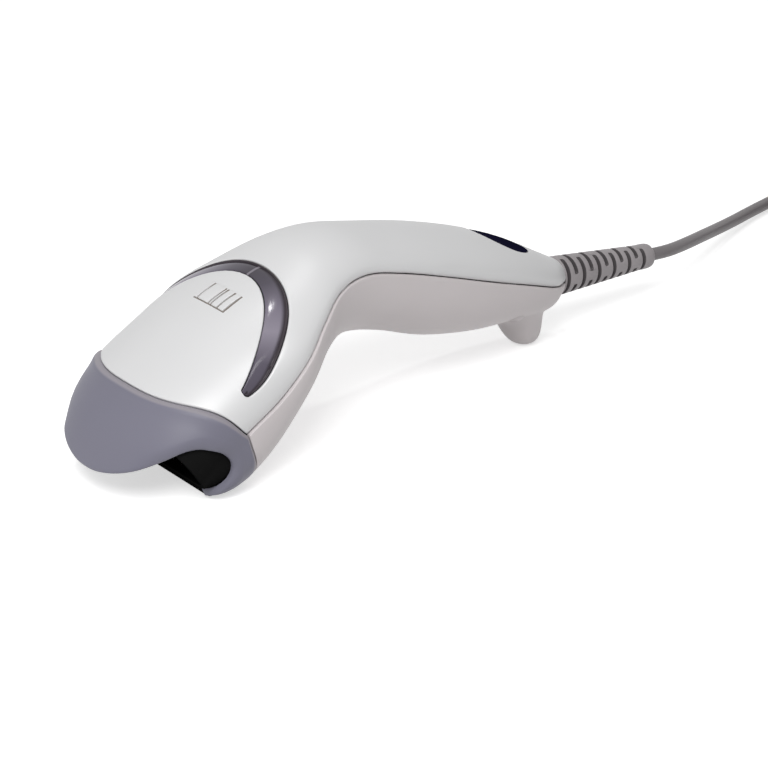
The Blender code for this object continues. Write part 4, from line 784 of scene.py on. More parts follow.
# Free stretch of the cable: x, distance behind the handle's end, height
CABLE_ROUTE = (
    (-1.4 * MM, 54.2 * MM, 13.6 * MM),
    (-5.0 * MM, 64.7 * MM, 12.0 * MM),
    (-10.0 * MM, 76.2 * MM, 9.8 * MM),
    (-15.8 * MM, 89.2 * MM, 7.2 * MM),
    (-21.4 * MM, 103.2 * MM, 5.0 * MM),
    (-26.6 * MM, 118.2 * MM, 3.5 * MM),
    (-30.4 * MM, 134.2 * MM, 2.9 * MM),
    (-32.0 * MM, 149.2 * MM, 2.9 * MM),
)


def relief_datum():
    """Datum on the rear face of the handle: Z runs out along the strain relief."""
    out = Matrix.Rotation(RELIEF_TILT, 4, "X") @ Matrix.Rotation(-math.pi / 2, 4, "X")
    return Matrix.Translation(Vector((0, REAR_Y, section(TAIL)["z"]))) @ out


def plug_datum():
    """Datum at the plug's rear: Y runs to its tip, Z is up."""
    place = Vector((coil_points()[-1].x, REAR_Y + PLUG_BEHIND, PLUG_GRIP_SIZE[2] / 2))
    return Matrix.Translation(place) @ Matrix.Rotation(math.pi, 4, "Z")


def coil_level(layer):
    """Height of the cable's middle in a layer of the coil."""
    return TIE_THICK + FIT_GAP + CABLE_RADIUS + layer * COIL_PITCH


def coil_points():
    """One unbroken spiral that goes in and out layer by layer and climbs where it turns back."""
    half_band = COIL_PITCH * COIL_TURNS / 2
    turning = 0.5
    winding = COIL_TURNS - turning
    steps = round((COIL_TURNS * COIL_LAYERS - COIL_SHORT) * LOOP_POINTS)
    points = []
    for k in range(steps + 1):
        turns = k / LOOP_POINTS
        layer = min(int(turns // COIL_TURNS), COIL_LAYERS - 1)
        within = turns - layer * COIL_TURNS
        inward = 1 if layer % 2 == 0 else -1
        last = layer == COIL_LAYERS - 1
        across = within if last else min(within, winding)
        radius = COIL_RADIUS + inward * (half_band - COIL_PITCH * turning / 2 - COIL_PITCH * across)
        climb = 0.0 if last else max(0.0, within - winding) / turning
        angle = math.pi - math.tau * turns
        points.append(COIL_CENTRE + Vector((
            radius * math.cos(angle), radius * math.sin(angle), coil_level(layer + climb),
        )))
    return points


def smooth_route(points, spacing):
    """Points along a smooth curve through the route, about a spacing apart."""
    columns = list(zip(*points))
    steps = spread(0.0, len(points) - 1.0, ROUTE_STEPS * len(points))
    fine = [Vector([smooth_value(c, t) for c in columns]) for t in steps]
    kept = [fine[0]]
    run = 0.0
    for before, after in zip(fine, fine[1:]):
        run += (after - before).length
        if run >= spacing:
            kept.append(after)
            run = 0.0
    kept.append(fine[-1])
    return kept


def cord_points():
    """Lead from the strain relief, the coil, and the tail to the plug, as one line."""
    loops = coil_points()
    datum = relief_datum()
    out = (datum.to_3x3() @ Vector((0, 0, 1))).normalized()
    start = datum @ Vector((0, 0, RELIEF_LENGTH + FIT_GAP))
    arrive = (loops[1] - loops[0]).normalized()
    straight = 3 * CABLE_RADIUS
    middle = [Vector((x, REAR_Y + behind, z)) for x, behind, z in CABLE_ROUTE]
    arrival = [loops[0] - arrive * straight, loops[0]]
    lead = smooth_route([start, start + out * straight, *middle, *arrival], LEAD_SPACING)
    leave = (loops[-1] - loops[-2]).normalized()
    plug = plug_datum()
    behind = [1.5 * FIT_GAP + run * CABLE_RADIUS for run in (5.0, 2.5, 0.0)]
    entry = [plug @ Vector((0, -PLUG_ENTRY - distance, 0)) for distance in behind]
    tail = smooth_route([loops[-1], loops[-1] + leave * 2 * CABLE_RADIUS, *entry], TAIL_SPACING)
    inner_end = start - out * CABLE_INSIDE
    return [inner_end, *lead[:-1], *loops, *tail[1:]], start


def build_cord():
    """The cable as one round curve from the strain relief to the plug."""
    points, leaves = cord_points()
    curve = bpy.data.curves.new("cable", "CURVE")
    curve.dimensions = "3D"
    curve.bevel_depth = CABLE_RADIUS
    curve.bevel_resolution = 4
    curve.use_fill_caps = True
    line = curve.splines.new("POLY")
    line.points.add(len(points) - 1)
    for spot, point in zip(line.points, points):
        spot.co = (*point, 1.0)
    line.use_smooth = True
    cable = bpy.data.objects.new("cable", curve)
    bpy.context.collection.objects.link(cable)
    curve.materials.append(FINISHES["cable"].material)
    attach(cable, "housing")
    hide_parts("cable_lead", "cable_coil", "cable_tail")
    length = sum((b - a).length for a, b in zip(points, points[1:]))
    return cable, leaves, length


# Crescent lens, press panel and upper shell share these outlines in the head datum

LENS_HALF = 0.931 * HEAD_HALF
LENS_TIP = -16.1 * MM
TIP_CROWD = 0.75
TIP_POINTS = 14
ARCH_POINTS = 240

# Edges of the crescent: middle of the arch, its reach and its roundness
OUTER_ARCH = (-13 * MM, 29.4 * MM, 2.1)
INNER_ARCH = (-30 * MM, 41.6 * MM, 2.0)

PANEL_GAP = 0.16 * MM
SHELL_LENS_GAP = 0.14 * MM
FRONT_COLUMNS = 56
FLANK_COLUMNS = 34
CREST_COLUMNS = 56
TUCK = 0.9 * MM
TUCK_ANGLE = 18.0
BEND_REACH = 0.15 * MM


def arch(grow, centre, plain_reach, roundness):
    """Rounded arch, grown by a gap, from the crescent's tip at +X over the crest to the tip at -X."""
    half_width, reach = LENS_HALF + grow, plain_reach + grow
    power = 2 / roundness
    foot = (LENS_TIP - centre) / reach
    start = math.copysign(math.asin(abs(foot) ** (roundness / 2)), foot)
    line = []
    for angle in spread(start, math.pi - start, ARCH_POINTS):
        cosine, sine = math.cos(angle), math.sin(angle)
        x = half_width * math.copysign(abs(cosine) ** power, cosine)
        line.append((x, centre + reach * math.copysign(abs(sine) ** power, sine)))
    return line


def outer_arch(grow):
    """Outer edge of the crescent, grown by a gap."""
    return arch(grow, *OUTER_ARCH)


def inner_arch(grow):
    """Inner edge of the crescent, grown by a gap."""
    return arch(grow, *INNER_ARCH)


def tip_circle():
    """Middle of the opening's round tip at +X, and its radius."""
    outer_x = outer_arch(SHELL_LENS_GAP)[0][0]
    inner_x = inner_arch(-PANEL_GAP)[0][0]
    return (outer_x + inner_x) / 2, (outer_x - inner_x) / 2


def with_tips(line, side):
    """The line with a quarter circle added at both ends, from the foremost point of each tip.

    The side is 1 for the outer edge of the opening and -1 for its inner edge.
    """
    middle, radius = tip_circle()
    turns = spread(-math.pi / 2, 0.0, TIP_POINTS)[:-1]
    quarter = [(middle + side * radius * math.cos(a), LENS_TIP + radius * math.sin(a)) for a in turns]
    return quarter + line + [(-x, y) for x, y in reversed(quarter)]


def front_line():
    """Straight line between the crescent's tips, where the press panel bends, from -X to +X."""
    middle, radius = tip_circle()
    return [(x, LENS_TIP - radius) for x in spread(-middle, middle, FRONT_COLUMNS + 1)]


def tuck(degrees):
    """How far the upper shell turns under towards the parting line."""
    angle = min(degrees, 180 - degrees)
    return TUCK * max(1 - max(angle, 0.0) / TUCK_ANGLE, 0.0) ** 2 if angle > -1.0 else 0.0


def shell_skin(t, degrees, lift):
    """Point of the outer skin of the upper or lower shell."""
    return skin(t, degrees, tuck(degrees) if lift > 0 else 0.0, lift)


def ring_rows(outside, inside, shares, lift):
    """Rows of skin points from an outer loop of spots to an inner one."""
    rows = []
    for share in shares:
        spots = [between(a, b, share) for a, b in zip(outside, inside)]
        rows.append([shell_skin(t, angle, lift) for t, angle in spots])
    return rows


def section_spots(t, start, columns):
    """Spots of half a section, evenly spaced from an angle on."""
    return [(t, a) for a in even_angles(t, start, columns + 1)]


def spot_ring(front, rear, flank, right, left):
    """Spots once round a patch: its front, the flank at one angle, its rear and the flank at the other."""
    return front + [(t, right) for t in flank[1:]] + rear[1:] + [(t, left) for t in flank[-2::-1]]


def square_turns(across, along):
    """Angles once round, each quarter cut as finely as its side of a patch, first and last alike."""
    turns = []
    begin = -0.75 * math.pi
    for count in (across, along, across, along):
        turns += [begin + math.pi / 2 * k / count for k in range(count)]
        begin += math.pi / 2
    return turns + turns[:1]


# Patches of the upper shell: station positions, columns on a side, and shares of the way to the opening
SEAM_SECTION = 2.2
HEAD_PATCH_END = 6.2
BADGE_PATCH_START = 8.7
BADGE_PATCH_END = 12.5
WAIST_ROWS = 26
TAIL_ROWS = 5
BADGE_SIDE_COLUMNS = 24
RING_SHARES = (0.0, 0.06, 0.13, 0.21, 0.29, 0.37, 0.45, 0.53, 0.61, 0.69, 0.77, 0.85, 0.93, 1.0)
BADGE_SHARES = (0.0, 0.12, 0.25, 0.4, 0.55, 0.7, 0.83, 0.93, 1.0)
SHELL_EDGE = 0.45 * MM


def head_patch():
    """Crown of the head as a ring of faces round the opening."""
    seam = [(seam_at(a), a) for a in even_angles(SEAM_SECTION, 0.0, FRONT_COLUMNS + 1)]
    crest = section_spots(HEAD_PATCH_END, 0.0, CREST_COLUMNS)
    flank = spread(SEAM, HEAD_PATCH_END, FLANK_COLUMNS + 1)
    outside = spot_ring(seam[::-1], crest, flank, 0.0, 180.0)
    columns = 2 * FLANK_COLUMNS + CREST_COLUMNS
    hole = evenly(with_tips(outer_arch(SHELL_LENS_GAP), 1), columns + 1, TIP_CROWD)
    loop = front_line() + hole[1:]
    inside = [crown_spot(x, y) for x, y in loop]
    return lay_sheet("head_patch", ring_rows(outside, inside, RING_SHARES, HALF_GAP))


def plain_patch(name, first, last, rows):
    """Plain stretch of the crown between two station positions."""
    grid = []
    for t in spread(first, last, rows):
        grid.append([shell_skin(t, a, HALF_GAP) for a in even_angles(t, 0.0, CREST_COLUMNS + 1)])
    return lay_sheet(name, grid)


BADGE_MIDDLE = (REAR_Y - 25.3 * MM - HEAD_END_Y) / math.cos(HANDLE_TILT)
BADGE_HALF = (8.7 * MM, 10.7 * MM)
BADGE_GAP = 0.18 * MM
BADGE_THICK = 0.7 * MM
BADGE_COLUMNS = 72

# Share of the way out from the badge's middle, and its height over the skin there, in millimetres
BADGE_PROFILE = (
    (0.0, 0.10), (0.35, 0.06), (0.65, -0.04), (0.85, -0.16), (0.95, -0.26), (0.985, -0.36), (1.0, -0.54),
)


def badge_patch():
    """Crown of the handle's rear as a ring of faces round the badge pocket."""
    front = section_spots(BADGE_PATCH_START, 0.0, CREST_COLUMNS)[::-1]
    rear = section_spots(BADGE_PATCH_END, 0.0, CREST_COLUMNS)
    flank = spread(BADGE_PATCH_START, BADGE_PATCH_END, BADGE_SIDE_COLUMNS + 1)
    outside = spot_ring(front, rear, flank, 0.0, 180.0)
    half_x, half_y = BADGE_HALF[0] + BADGE_GAP, BADGE_HALF[1] + BADGE_GAP
    turns = square_turns(CREST_COLUMNS, BADGE_SIDE_COLUMNS)
    inside = [handle_spot(half_x * math.cos(a), BADGE_MIDDLE + half_y * math.sin(a)) for a in turns]
    return lay_sheet("badge_patch", ring_rows(outside, inside, BADGE_SHARES, HALF_GAP))


def on_panel_bend(point):
    """True on the straight line between the crescent's tips."""
    middle, radius = tip_circle()
    spot = HEAD_INVERSE @ point
    on_line = abs(spot.y - LENS_TIP + radius) < BEND_REACH
    return on_line and abs(spot.x) < middle + 0.1 * MM and spot.z > 5 * MM


def build_top_shell():
    """Upper shell with rounded edges round the crescent, the badge pocket, the seam and the parting line."""
    sheets = [
        head_patch(),
        plain_patch("waist_patch", HEAD_PATCH_END, BADGE_PATCH_START, WAIST_ROWS),
        badge_patch(),
        plain_patch("tail_patch", BADGE_PATCH_END, TAIL, TAIL_ROWS),
    ]
    shell = weld("upper_shell", sheets, SHELL_INSIDE)
    thicken(shell, SHELL_WALL)
    round_edges(shell, SHELL_EDGE, 3, lambda point: not on_panel_bend(point))
    return finish_piece(shell, "silver_shell", ["top_shell"])


def build_badge():
    """Plain dark oval inlay, slightly domed, in its pocket."""
    rows = []
    for share, proud in BADGE_PROFILE:
        row = []
        for k in range(BADGE_COLUMNS + 1):
            angle = math.tau * k / BADGE_COLUMNS
            x = BADGE_HALF[0] * share * math.cos(angle)
            y = BADGE_MIDDLE + BADGE_HALF[1] * share * math.sin(angle)
            t, degrees = handle_spot(x, y)
            row.append(skin(t, degrees, -proud * MM, HALF_GAP))
        rows.append(row)
    badge = sheet_piece("badge_inlay", rows, BADGE_INSIDE)
    thicken(badge, BADGE_THICK)
    return finish_piece(badge, "badge", ["badge_plate"], smooth=50.0)


# Share of the way across the lens from its inner edge, and how far it lies under the skin, in millimetres
LENS_FACE = (
    (0.0, 0.55), (0.015, 0.30), (0.04, 0.18), (0.10, 0.14), (0.20, 0.14), (0.32, 0.16), (0.44, 0.19),
    (0.55, 0.22), (0.65, 0.27), (0.73, 0.35), (0.80, 0.46), (0.86, 0.56), (0.895, 0.58),
)
LENS_RIM = (
    (0.91, 0.40), (0.93, 0.22), (0.955, 0.15), (0.98, 0.18), (0.992, 0.35), (1.0, 0.90),
)
LENS_FLUSH = 0.14
LENS_FULL_WIDTH = 4.0 * MM
LENS_TIP_SHARE = 0.06
LENS_TIP_COLUMNS = 9
LENS_COLUMNS = 150
LENS_THICK = 1.2 * MM


def lens_pairs():
    """Pairs of an outer and an inner point of the crescent, from the tip at +X to the tip at -X."""
    outer, inner = evenly(outer_arch(0.0), LENS_COLUMNS), evenly(inner_arch(0.0), LENS_COLUMNS)
    middle_x = (outer[0][0] + inner[0][0]) / 2
    radius = (outer[0][0] - inner[0][0]) / 2
    tip = []
    for angle in spread(0.0, math.pi / 2, LENS_TIP_COLUMNS)[:-1]:
        y = LENS_TIP - radius * math.cos(angle)
        tip.append(((middle_x + radius * math.sin(angle), y), (middle_x - radius * math.sin(angle), y)))
    return tip + list(zip(outer, inner)) + [((-a, b), (-c, d)) for (a, b), (c, d) in reversed(tip)]


def lens_row(pairs, across, inset):
    """Points of the lens at one share of the way across; its depth fades out at the narrow tips."""
    row = []
    for (ox, oy), (ix, iy) in pairs:
        depth = min(math.dist((ox, oy), (ix, iy)) / LENS_FULL_WIDTH, 1.0)
        t, angle = crown_spot(ix + (ox - ix) * across, iy + (oy - iy) * across)
        row.append(skin(t, angle, (LENS_FLUSH + (inset - LENS_FLUSH) * depth) * MM))
    return row


def build_lens():
    """Smoky crescent: a face that follows the skin and a thin rim along its outer edge, darkened by painted
    shade.
    """
    pairs = lens_pairs()
    profile = LENS_FACE + LENS_RIM
    lens = lay_sheet("crescent_lens", [lens_row(pairs, *step) for step in profile])
    lens.data.uv_layers.active = mark_lie(lens, len(pairs), [across for across, _ in profile])
    lens = weld("crescent_lens", [lens], HEAD_INSIDE, 0.005 * MM)
    thicken(lens, LENS_THICK)
    finish_piece(lens, "smoke", ["indicator_lens"], smooth=60.0)
    # The outer rim rows get the darker rim material: painted shade
    lens.data.materials.append(FINISHES["lens_rim"].material)
    lie = lens.data.uv_layers["lie"]
    for face in lens.data.polygons:
        spots = [lie.data[k].uv for k in face.loop_indices]
        rim = min(spot.y for spot in spots) >= LENS_FACE[-1][0] - 0.001
        at_tip = min(min(spot.x, 1 - spot.x) for spot in spots) < LENS_TIP_SHARE
        face.material_index = 1 if rim and not at_tip else 0
    return lens


GRIP_BAR_FRONT = -1.9 * MM
GRIP_BAR_LENGTH = 6.9 * MM
GRIP_BAR_HEIGHT = 0.55 * MM
GRIP_BAR_WIDTHS = (1.5 * MM, 4.75 * MM, 0.5 * MM, 2.4 * MM, 2.25 * MM)
GRIP_BAR_SPACE = 0.5 * MM
GRIP_BAR_TRIM = 0.06 * MM
GRIP_BAR_THICK = 1.0 * MM
GRIP_BAR_EDGE = 0.08 * MM
# The bar bed is a thin dark sheet under the grip bars: painted shade
BAR_BED_HEIGHT = 0.05 * MM
BAR_BED_THICK = 0.3 * MM
BAR_BED_RIGHT = 0.4 * MM
BAR_BED_FRONT_SHARE = 0.05
BAR_BED_REAR_SHARE = 0.96
PANEL_SHARES = (0.0, 0.05, 0.1, 0.16, 0.23, 0.31, 0.4, 0.5, 0.6, 0.7, 0.79, 0.87, 0.93, 0.97, 1.0)
PANEL_EDGE = 0.25 * MM


def raised(x, y, height):
    """Point above the crown over x, y of the head datum."""
    t, angle = crown_spot(x, y)
    spot = HEAD_INVERSE @ skin(t, angle, 0.0, HALF_GAP)
    return HEAD_DATUM @ Vector((spot.x, spot.y, spot.z + height))


def grip_bar(x, width):
    """One raised bar: a step at its front, fading into the panel at its rear."""
    rows = []
    for share in spread(0.0, 1.0, 11):
        y = GRIP_BAR_FRONT + GRIP_BAR_LENGTH * share
        height = GRIP_BAR_HEIGHT * (0.72 + 0.9 * share * (1 - share) - 0.62 * share ** 2)
        rows.append([raised(x + width * across, y, height) for across in spread(0.0, 1.0, 5)])
    bar = sheet_piece("grip_bar", rows)
    thicken(bar, GRIP_BAR_THICK)
    round_edges(bar, GRIP_BAR_EDGE, 2)
    return bar


def build_bar_shade_bed(width):
    """Thin dark sheet under the bars, painted shade that shows in the grooves between them and along their
    front and right.
    """
    rows = []
    for share in spread(-BAR_BED_FRONT_SHARE, BAR_BED_REAR_SHARE, 9):
        y = GRIP_BAR_FRONT + GRIP_BAR_LENGTH * share
        right = width / 2 + BAR_BED_RIGHT
        rows.append([raised(x, y, BAR_BED_HEIGHT) for x in spread(-width / 2, right, 15)])
    bed = sheet_piece("grip_bar_shade_bed", rows)
    thicken(bed, BAR_BED_THICK)
    finish_piece(bed, "bar_bed", [], body="panel")


def build_press_panel():
    """Press panel: the crown inside the crescent, joined to the shell in front, with its grip bars."""
    edge = evenly(with_tips(inner_arch(-PANEL_GAP), -1), FRONT_COLUMNS + 1, TIP_CROWD)
    front = front_line()[::-1]
    rows = []
    for share in PANEL_SHARES:
        spots = [crown_spot(*between(a, b, share)) for a, b in zip(front, edge)]
        rows.append([skin(t, angle, 0.0, HALF_GAP) for t, angle in spots])
    panel = sheet_piece("press_panel", rows)
    thicken(panel, SHELL_WALL)
    round_edges(panel, PANEL_EDGE, 3, lambda point: not on_panel_bend(point))
    total = sum(GRIP_BAR_WIDTHS) + GRIP_BAR_SPACE * (len(GRIP_BAR_WIDTHS) - 1)
    build_bar_shade_bed(total)
    x = -total / 2
    for width in GRIP_BAR_WIDTHS:
        cut(panel, grip_bar(x + GRIP_BAR_TRIM, width - 2 * GRIP_BAR_TRIM), "UNION")
        x += width + GRIP_BAR_SPACE
    panel.name = "press_panel"
    finish_piece(panel, "silver_shell", ["trigger_panel"], body=None)
    t, angle = crown_spot(0.0, LENS_TIP - tip_circle()[1])
    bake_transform(panel)
    return panel


# Bumper

# Distance from the mouth's edge, and how far the skin lies under the body's form on hood and cheek, in mm
LIP = (
    (0.0, 0.85, 1.85), (0.12, 0.42, 1.55), (0.35, 0.18, 1.33), (0.75, 0.04, 1.08), (1.3, 0.0, 0.84),
    (2.0, 0.0, 0.58), (2.9, 0.0, 0.32), (4.0, 0.0, 0.11), (5.2, 0.0, 0.0),
)
LIP_REACH = LIP[-1][0]
LIP_LARGEST_SHARE = 0.46

# The same from the rear edge, where the bead stands proud
REAR_EDGE = (
    (0.0, 0.50), (0.10, 0.12), (0.28, -0.18), (0.58, -0.40), (1.0, -0.54), (1.5, -0.57), (2.2, -0.43),
    (3.2, -0.19), (5.2, 0.0),
)
MIDDLE_ROWS = 7
BEAD_WIDTH = 1.8
HOOD_ANGLE = 62.0
CHEEK_LIP_ANGLE = 42.0
LIP_FADE_START = -6.0
LIP_FADE_END = -34.0
FOOT_LIP_SHARE = 0.25
FOOT_BEAD_SHARE = 0.2
BUMPER_SECTION = 1.2
HOOD_COLUMNS = 81
BELLY_SAMPLES = 67


def soft_share(value, start, end):
    """0 at the start, 1 at the end, softly between."""
    share = min(max((value - start) / (end - start), 0.0), 1.0)
    return share * share * (3 - 2 * share)


def edge_sides(degrees):
    """How far an angle lies on the cheek rather than the hood, and how far down at the cheek's foot."""
    angle = degrees if degrees <= 90 else 180 - degrees
    cheek = soft_share(angle, HOOD_ANGLE, CHEEK_LIP_ANGLE)
    return cheek, soft_share(angle, LIP_FADE_START, LIP_FADE_END)


def bumper_column(degrees):
    """Points of the bumper at one angle: outside from the rear edge to the mouth, then back inside."""
    front, rear = mouth_edge(degrees), seam_at(degrees) - SEAM_STEP
    length = (skin(front, degrees) - skin(rear, degrees)).length
    scale = min(MM, LIP_LARGEST_SHARE * length / LIP_REACH)
    cheek, foot = edge_sides(degrees)
    bead = 1 - (1 - FOOT_BEAD_SHARE) * foot
    roll = 1 - (1 - FOOT_LIP_SHARE) * foot
    rows = []
    for distance, inset in REAR_EDGE:
        rows.append((1 - distance * scale / length, (inset if inset > 0 else inset * bead) * MM))
    first, last = rows[-1][0], LIP_REACH * scale / length
    rows += [(share, 0.0) for share in spread(first, last, MIDDLE_ROWS)[1:-1]]
    for distance, on_hood, on_cheek in reversed(LIP):
        rows.append((distance * scale / length, (on_hood + (on_cheek - on_hood) * cheek) * roll * MM))
    rows += [(share, BUMPER_WALL) for share in spread(0.0, 1.0, MIDDLE_ROWS)]
    column = [skin(front + (rear - front) * share, degrees, inset) for share, inset in rows]
    return column + column[:1]


def bumper_angles():
    """Angles from one cheek's foot over the hood to the other's, evenly spaced on the skin."""
    foot = 360.0 - CHEEK_ANGLE
    belly = [a for a in even_angles(BUMPER_SECTION, 180.0, BELLY_SAMPLES) if a > foot + 1.0]
    right = [-CHEEK_ANGLE] + [a - 360.0 for a in belly[:-1]]
    left = [180.0 - a for a in reversed(right)]
    return right + even_angles(BUMPER_SECTION, 0.0, HOOD_COLUMNS) + left


def fill_ends(item):
    """Close every open edge loop with faces."""
    select_only(item)
    bpy.ops.object.mode_set(mode="EDIT")
    bpy.ops.mesh.select_mode(type="EDGE")
    bpy.ops.mesh.select_all(action="DESELECT")
    bpy.ops.mesh.select_non_manifold()
    bpy.ops.mesh.fill()
    bpy.ops.mesh.select_all(action="SELECT")
    bpy.ops.mesh.normals_make_consistent(inside=False)
    bpy.ops.object.mode_set(mode="OBJECT")


def build_bumper():
    """Soft bumper: hood over the mouth, cheeks that roll in round it, a raised round rear edge."""
    columns = [bumper_column(a) for a in bumper_angles()]
    sheet = lay_sheet("nose_bumper_soft", list(zip(*columns)))
    # Shares that place the bumper's painted highlight on the bead along its rear edge
    near = [max(1 - distance / BEAD_WIDTH, 0.0) for distance, _ in REAR_EDGE]
    mark_lie(sheet, len(columns), near + [0.0] * (len(columns[0]) - len(near)))
    bumper = weld("nose_bumper_soft", [sheet], BUMPER_INSIDE)
    fill_ends(bumper)
    return finish_piece(bumper, "bumper", ["nose_bumper"], smooth=60.0)


# Lower shell with its foot and screw wells

BELLY_PATCH_END = 10.3
BELLY_COLUMNS = 56
FOOT_Y = REAR_Y - 10.4 * MM
FOOT_RAKE = 3.5 * MM
FOOT_RAKE_LIMIT = 1.25
FOOT_ROOT_HEIGHT = 12.0
FOOT_FILLET = 5.0 * MM
FOOT_SIDE_COLUMNS = 20
BELLY_ROWS = 60
BELLY_SHARES = (0.0, 0.1, 0.2, 0.32, 0.45, 0.58, 0.7, 0.8, 0.89, 0.95, 1.0)
BELLY_WALL = 0.9 * SHELL_WALL
BELLY_EDGE = 0.3 * MM

# Radius of the foot and the height of its own cone there, in millimetres
FOOT_PROFILE = (
    (10.6, 21.0), (10.0, 18.6), (9.5, 16.6), (9.1, 15.0), (8.75, 13.8), (8.4, 12.6), (8.1, 11.6),
    (7.8, 10.55), (7.5, 9.5), (7.25, 8.5), (7.0, 7.6), (6.7, 6.55), (6.4, 5.55), (6.05, 4.5), (5.7, 3.65),
    (5.3, 2.85), (4.75, 1.95), (4.1, 1.2), (3.4, 0.65), (2.6, 0.28), (1.8, 0.08), (1.0, 0.0), (0.0, 0.0),
)


def foot_middle(height):
    """Place along the body of the foot's middle at a height in millimetres; the foot leans back."""
    return FOOT_Y - FOOT_RAKE * min(height / FOOT_ROOT_HEIGHT, FOOT_RAKE_LIMIT)


def filleted(first, second):
    """The lower of two heights, with a soft change from one to the other."""
    near = max(FOOT_FILLET - abs(first - second), 0.0) / FOOT_FILLET
    return max(min(first, second) - near * near * FOOT_FILLET / 4, 0.0)


def belly_patch():
    """Belly of the head and grip, from the bumper seam to the foot's patch."""
    grid = []
    for share in spread(0.0, 1.0, BELLY_ROWS):
        nominal = SEAM + (BELLY_PATCH_END - SEAM) * share
        row = []
        for a in even_angles(nominal, 180.0, BELLY_COLUMNS + 1):
            begin = seam_at(a)
            row.append(skin(begin + (BELLY_PATCH_END - begin) * share, a, 0.0, -HALF_GAP))
        grid.append(row)
    return lay_sheet("belly_patch", grid)


def foot_ring(turns, radius, height):
    """Spots of the belly on a ring of the foot."""
    middle = foot_middle(height)
    return [belly_spot(radius * MM * math.cos(a), middle + radius * MM * math.sin(a)) for a in turns]


def foot_patch():
    """Rear of the belly as a ring of faces that runs down into the foot."""
    front = section_spots(BELLY_PATCH_END, 180.0, BELLY_COLUMNS)
    rear = section_spots(TAIL, 180.0, BELLY_COLUMNS)[::-1]
    flank = spread(BELLY_PATCH_END, TAIL, FOOT_SIDE_COLUMNS + 1)
    outside = spot_ring(front, rear, flank, 360.0, 180.0)
    turns = square_turns(BELLY_COLUMNS, FOOT_SIDE_COLUMNS)
    rows = ring_rows(outside, foot_ring(turns, *FOOT_PROFILE[0]), BELLY_SHARES, -HALF_GAP)
    for radius, height in FOOT_PROFILE[1:]:
        row = []
        for t, angle in foot_ring(turns, radius, height):
            under = skin(t, angle, 0.0, -HALF_GAP)
            row.append(Vector((under.x, under.y, filleted(under.z, height * MM))))
        rows.append(row)
    return lay_sheet("foot_patch", rows)


# Housing screws: their shelf over the belly, radii of boss, well, hole and screw, and where they stand
SCREW_SHELF = 5.0 * MM
SCREW_BOSS = 3.4 * MM
SCREW_WELL = 2.4 * MM
SCREW_HOLE = 1.3 * MM
SCREW_HEAD = 2.1 * MM
SCREW_HEAD_HEIGHT = 1.5 * MM
SCREW_THREAD = 1.0 * MM
SCREW_CORE = 0.78 * MM
SCREW_PITCH = 0.7 * MM
SCREW_REACH = 6.0 * MM
SCREW_TURN = 0.3
CROSS_BLADE = (2.6 * MM, 0.55 * MM, 1.8 * MM)
SCREW_PLACES = (
    ("front", 0.0, HEAD_END_Y + 1.0 * MM),
    ("rear_right", 0.45 * GRIP_HALF, REAR_Y - 22.5 * MM),
    ("rear_left", -0.45 * GRIP_HALF, REAR_Y - 22.5 * MM),
)


def screw_shelf(x, y):
    """Heights at a screw: of the belly, of the shelf that its head stands on, and of the parting line."""
    t = solve(lambda value: section(value)["y"], SEAM, TAIL, y)
    s = section(t)
    share = min(abs(x) / s["half_width"], 1.0)
    belly = s["z"] - s["belly"] * (1 - share ** s["belly_round"]) ** (1 / s["belly_round"])
    return belly, belly + SCREW_SHELF, s["z"]


def sink_screw_wells(shell):
    """Bosses inside the belly and a chamfered well up to each screw head."""
    for name, x, y in SCREW_PLACES:
        belly, shelf, _ = screw_shelf(x, y)
        place = Matrix.Translation(Vector((x, y, 0)))
        low, high = belly + 1.0 * MM, shelf + 2.0 * MM
        boss = ((low, 0.0), (low, SCREW_BOSS), (high, SCREW_BOSS), (high, 0.0))
        cut(shell, turned_piece("boss_" + name, boss, place), "UNION")
        well = (
            (belly - 3 * MM, 0.0), (belly - 3 * MM, 3.6 * MM), (belly + 0.1 * MM, 2.75 * MM),
            (belly + 0.55 * MM, SCREW_WELL), (shelf, SCREW_WELL), (shelf, SCREW_HOLE),
            (high + 1 * MM, SCREW_HOLE), (high + 1 * MM, 0.0),
        )
        cut(shell, turned_piece("well_" + name, well, place))


def build_bottom_shell():
    """Lower shell: belly of the head, grip and the tapered foot under its rear."""
    shell = weld("lower_shell", [belly_patch(), foot_patch()], BELLY_INSIDE)
    thicken(shell, BELLY_WALL)
    round_edges(shell, BELLY_EDGE, 3, lambda point: point.z > 1 * MM)
    sink_screw_wells(shell)
    # Its darker, warmer grey is painted shade of the underside
    return finish_piece(shell, "warm_grey_shell", ["bottom_shell"])


def build_housing_screw(name, x, y):
    """Pan screw with a cross recess, its head down in the well."""
    _, shelf, parting = screw_shelf(x, y)
    seat = shelf - 0.2 * MM
    under = seat - SCREW_HEAD_HEIGHT
    profile = [(under, 0.0), (under, 1.35 * MM), (under + 0.15 * MM, 1.75 * MM)]
    profile += [(under + 0.5 * MM, SCREW_HEAD), (seat, SCREW_HEAD), (seat, 0.8 * MM)]
    tip = parting + SCREW_REACH
    height = seat + 1 * MM
    while height < tip - 1.2 * MM:
        profile.append((height, SCREW_CORE))
        profile += [(height + rise, SCREW_THREAD) for rise in (0.25 * MM, 0.35 * MM)]
        height += SCREW_PITCH
    profile += [(tip - 0.6 * MM, 0.7 * MM), (tip, 0.15 * MM), (tip, 0.0)]
    place = Matrix.Translation(Vector((x, y, 0)))
    screw = turned_piece("housing_screw_" + name + "_cross", profile, place, 28)
    for turn in (SCREW_TURN, SCREW_TURN + math.pi / 2):
        cut(screw, block("blade", CROSS_BLADE, (x, y, under), turn))
    finish_piece(screw, "steel", ["housing_screw_" + name])


# Mouth

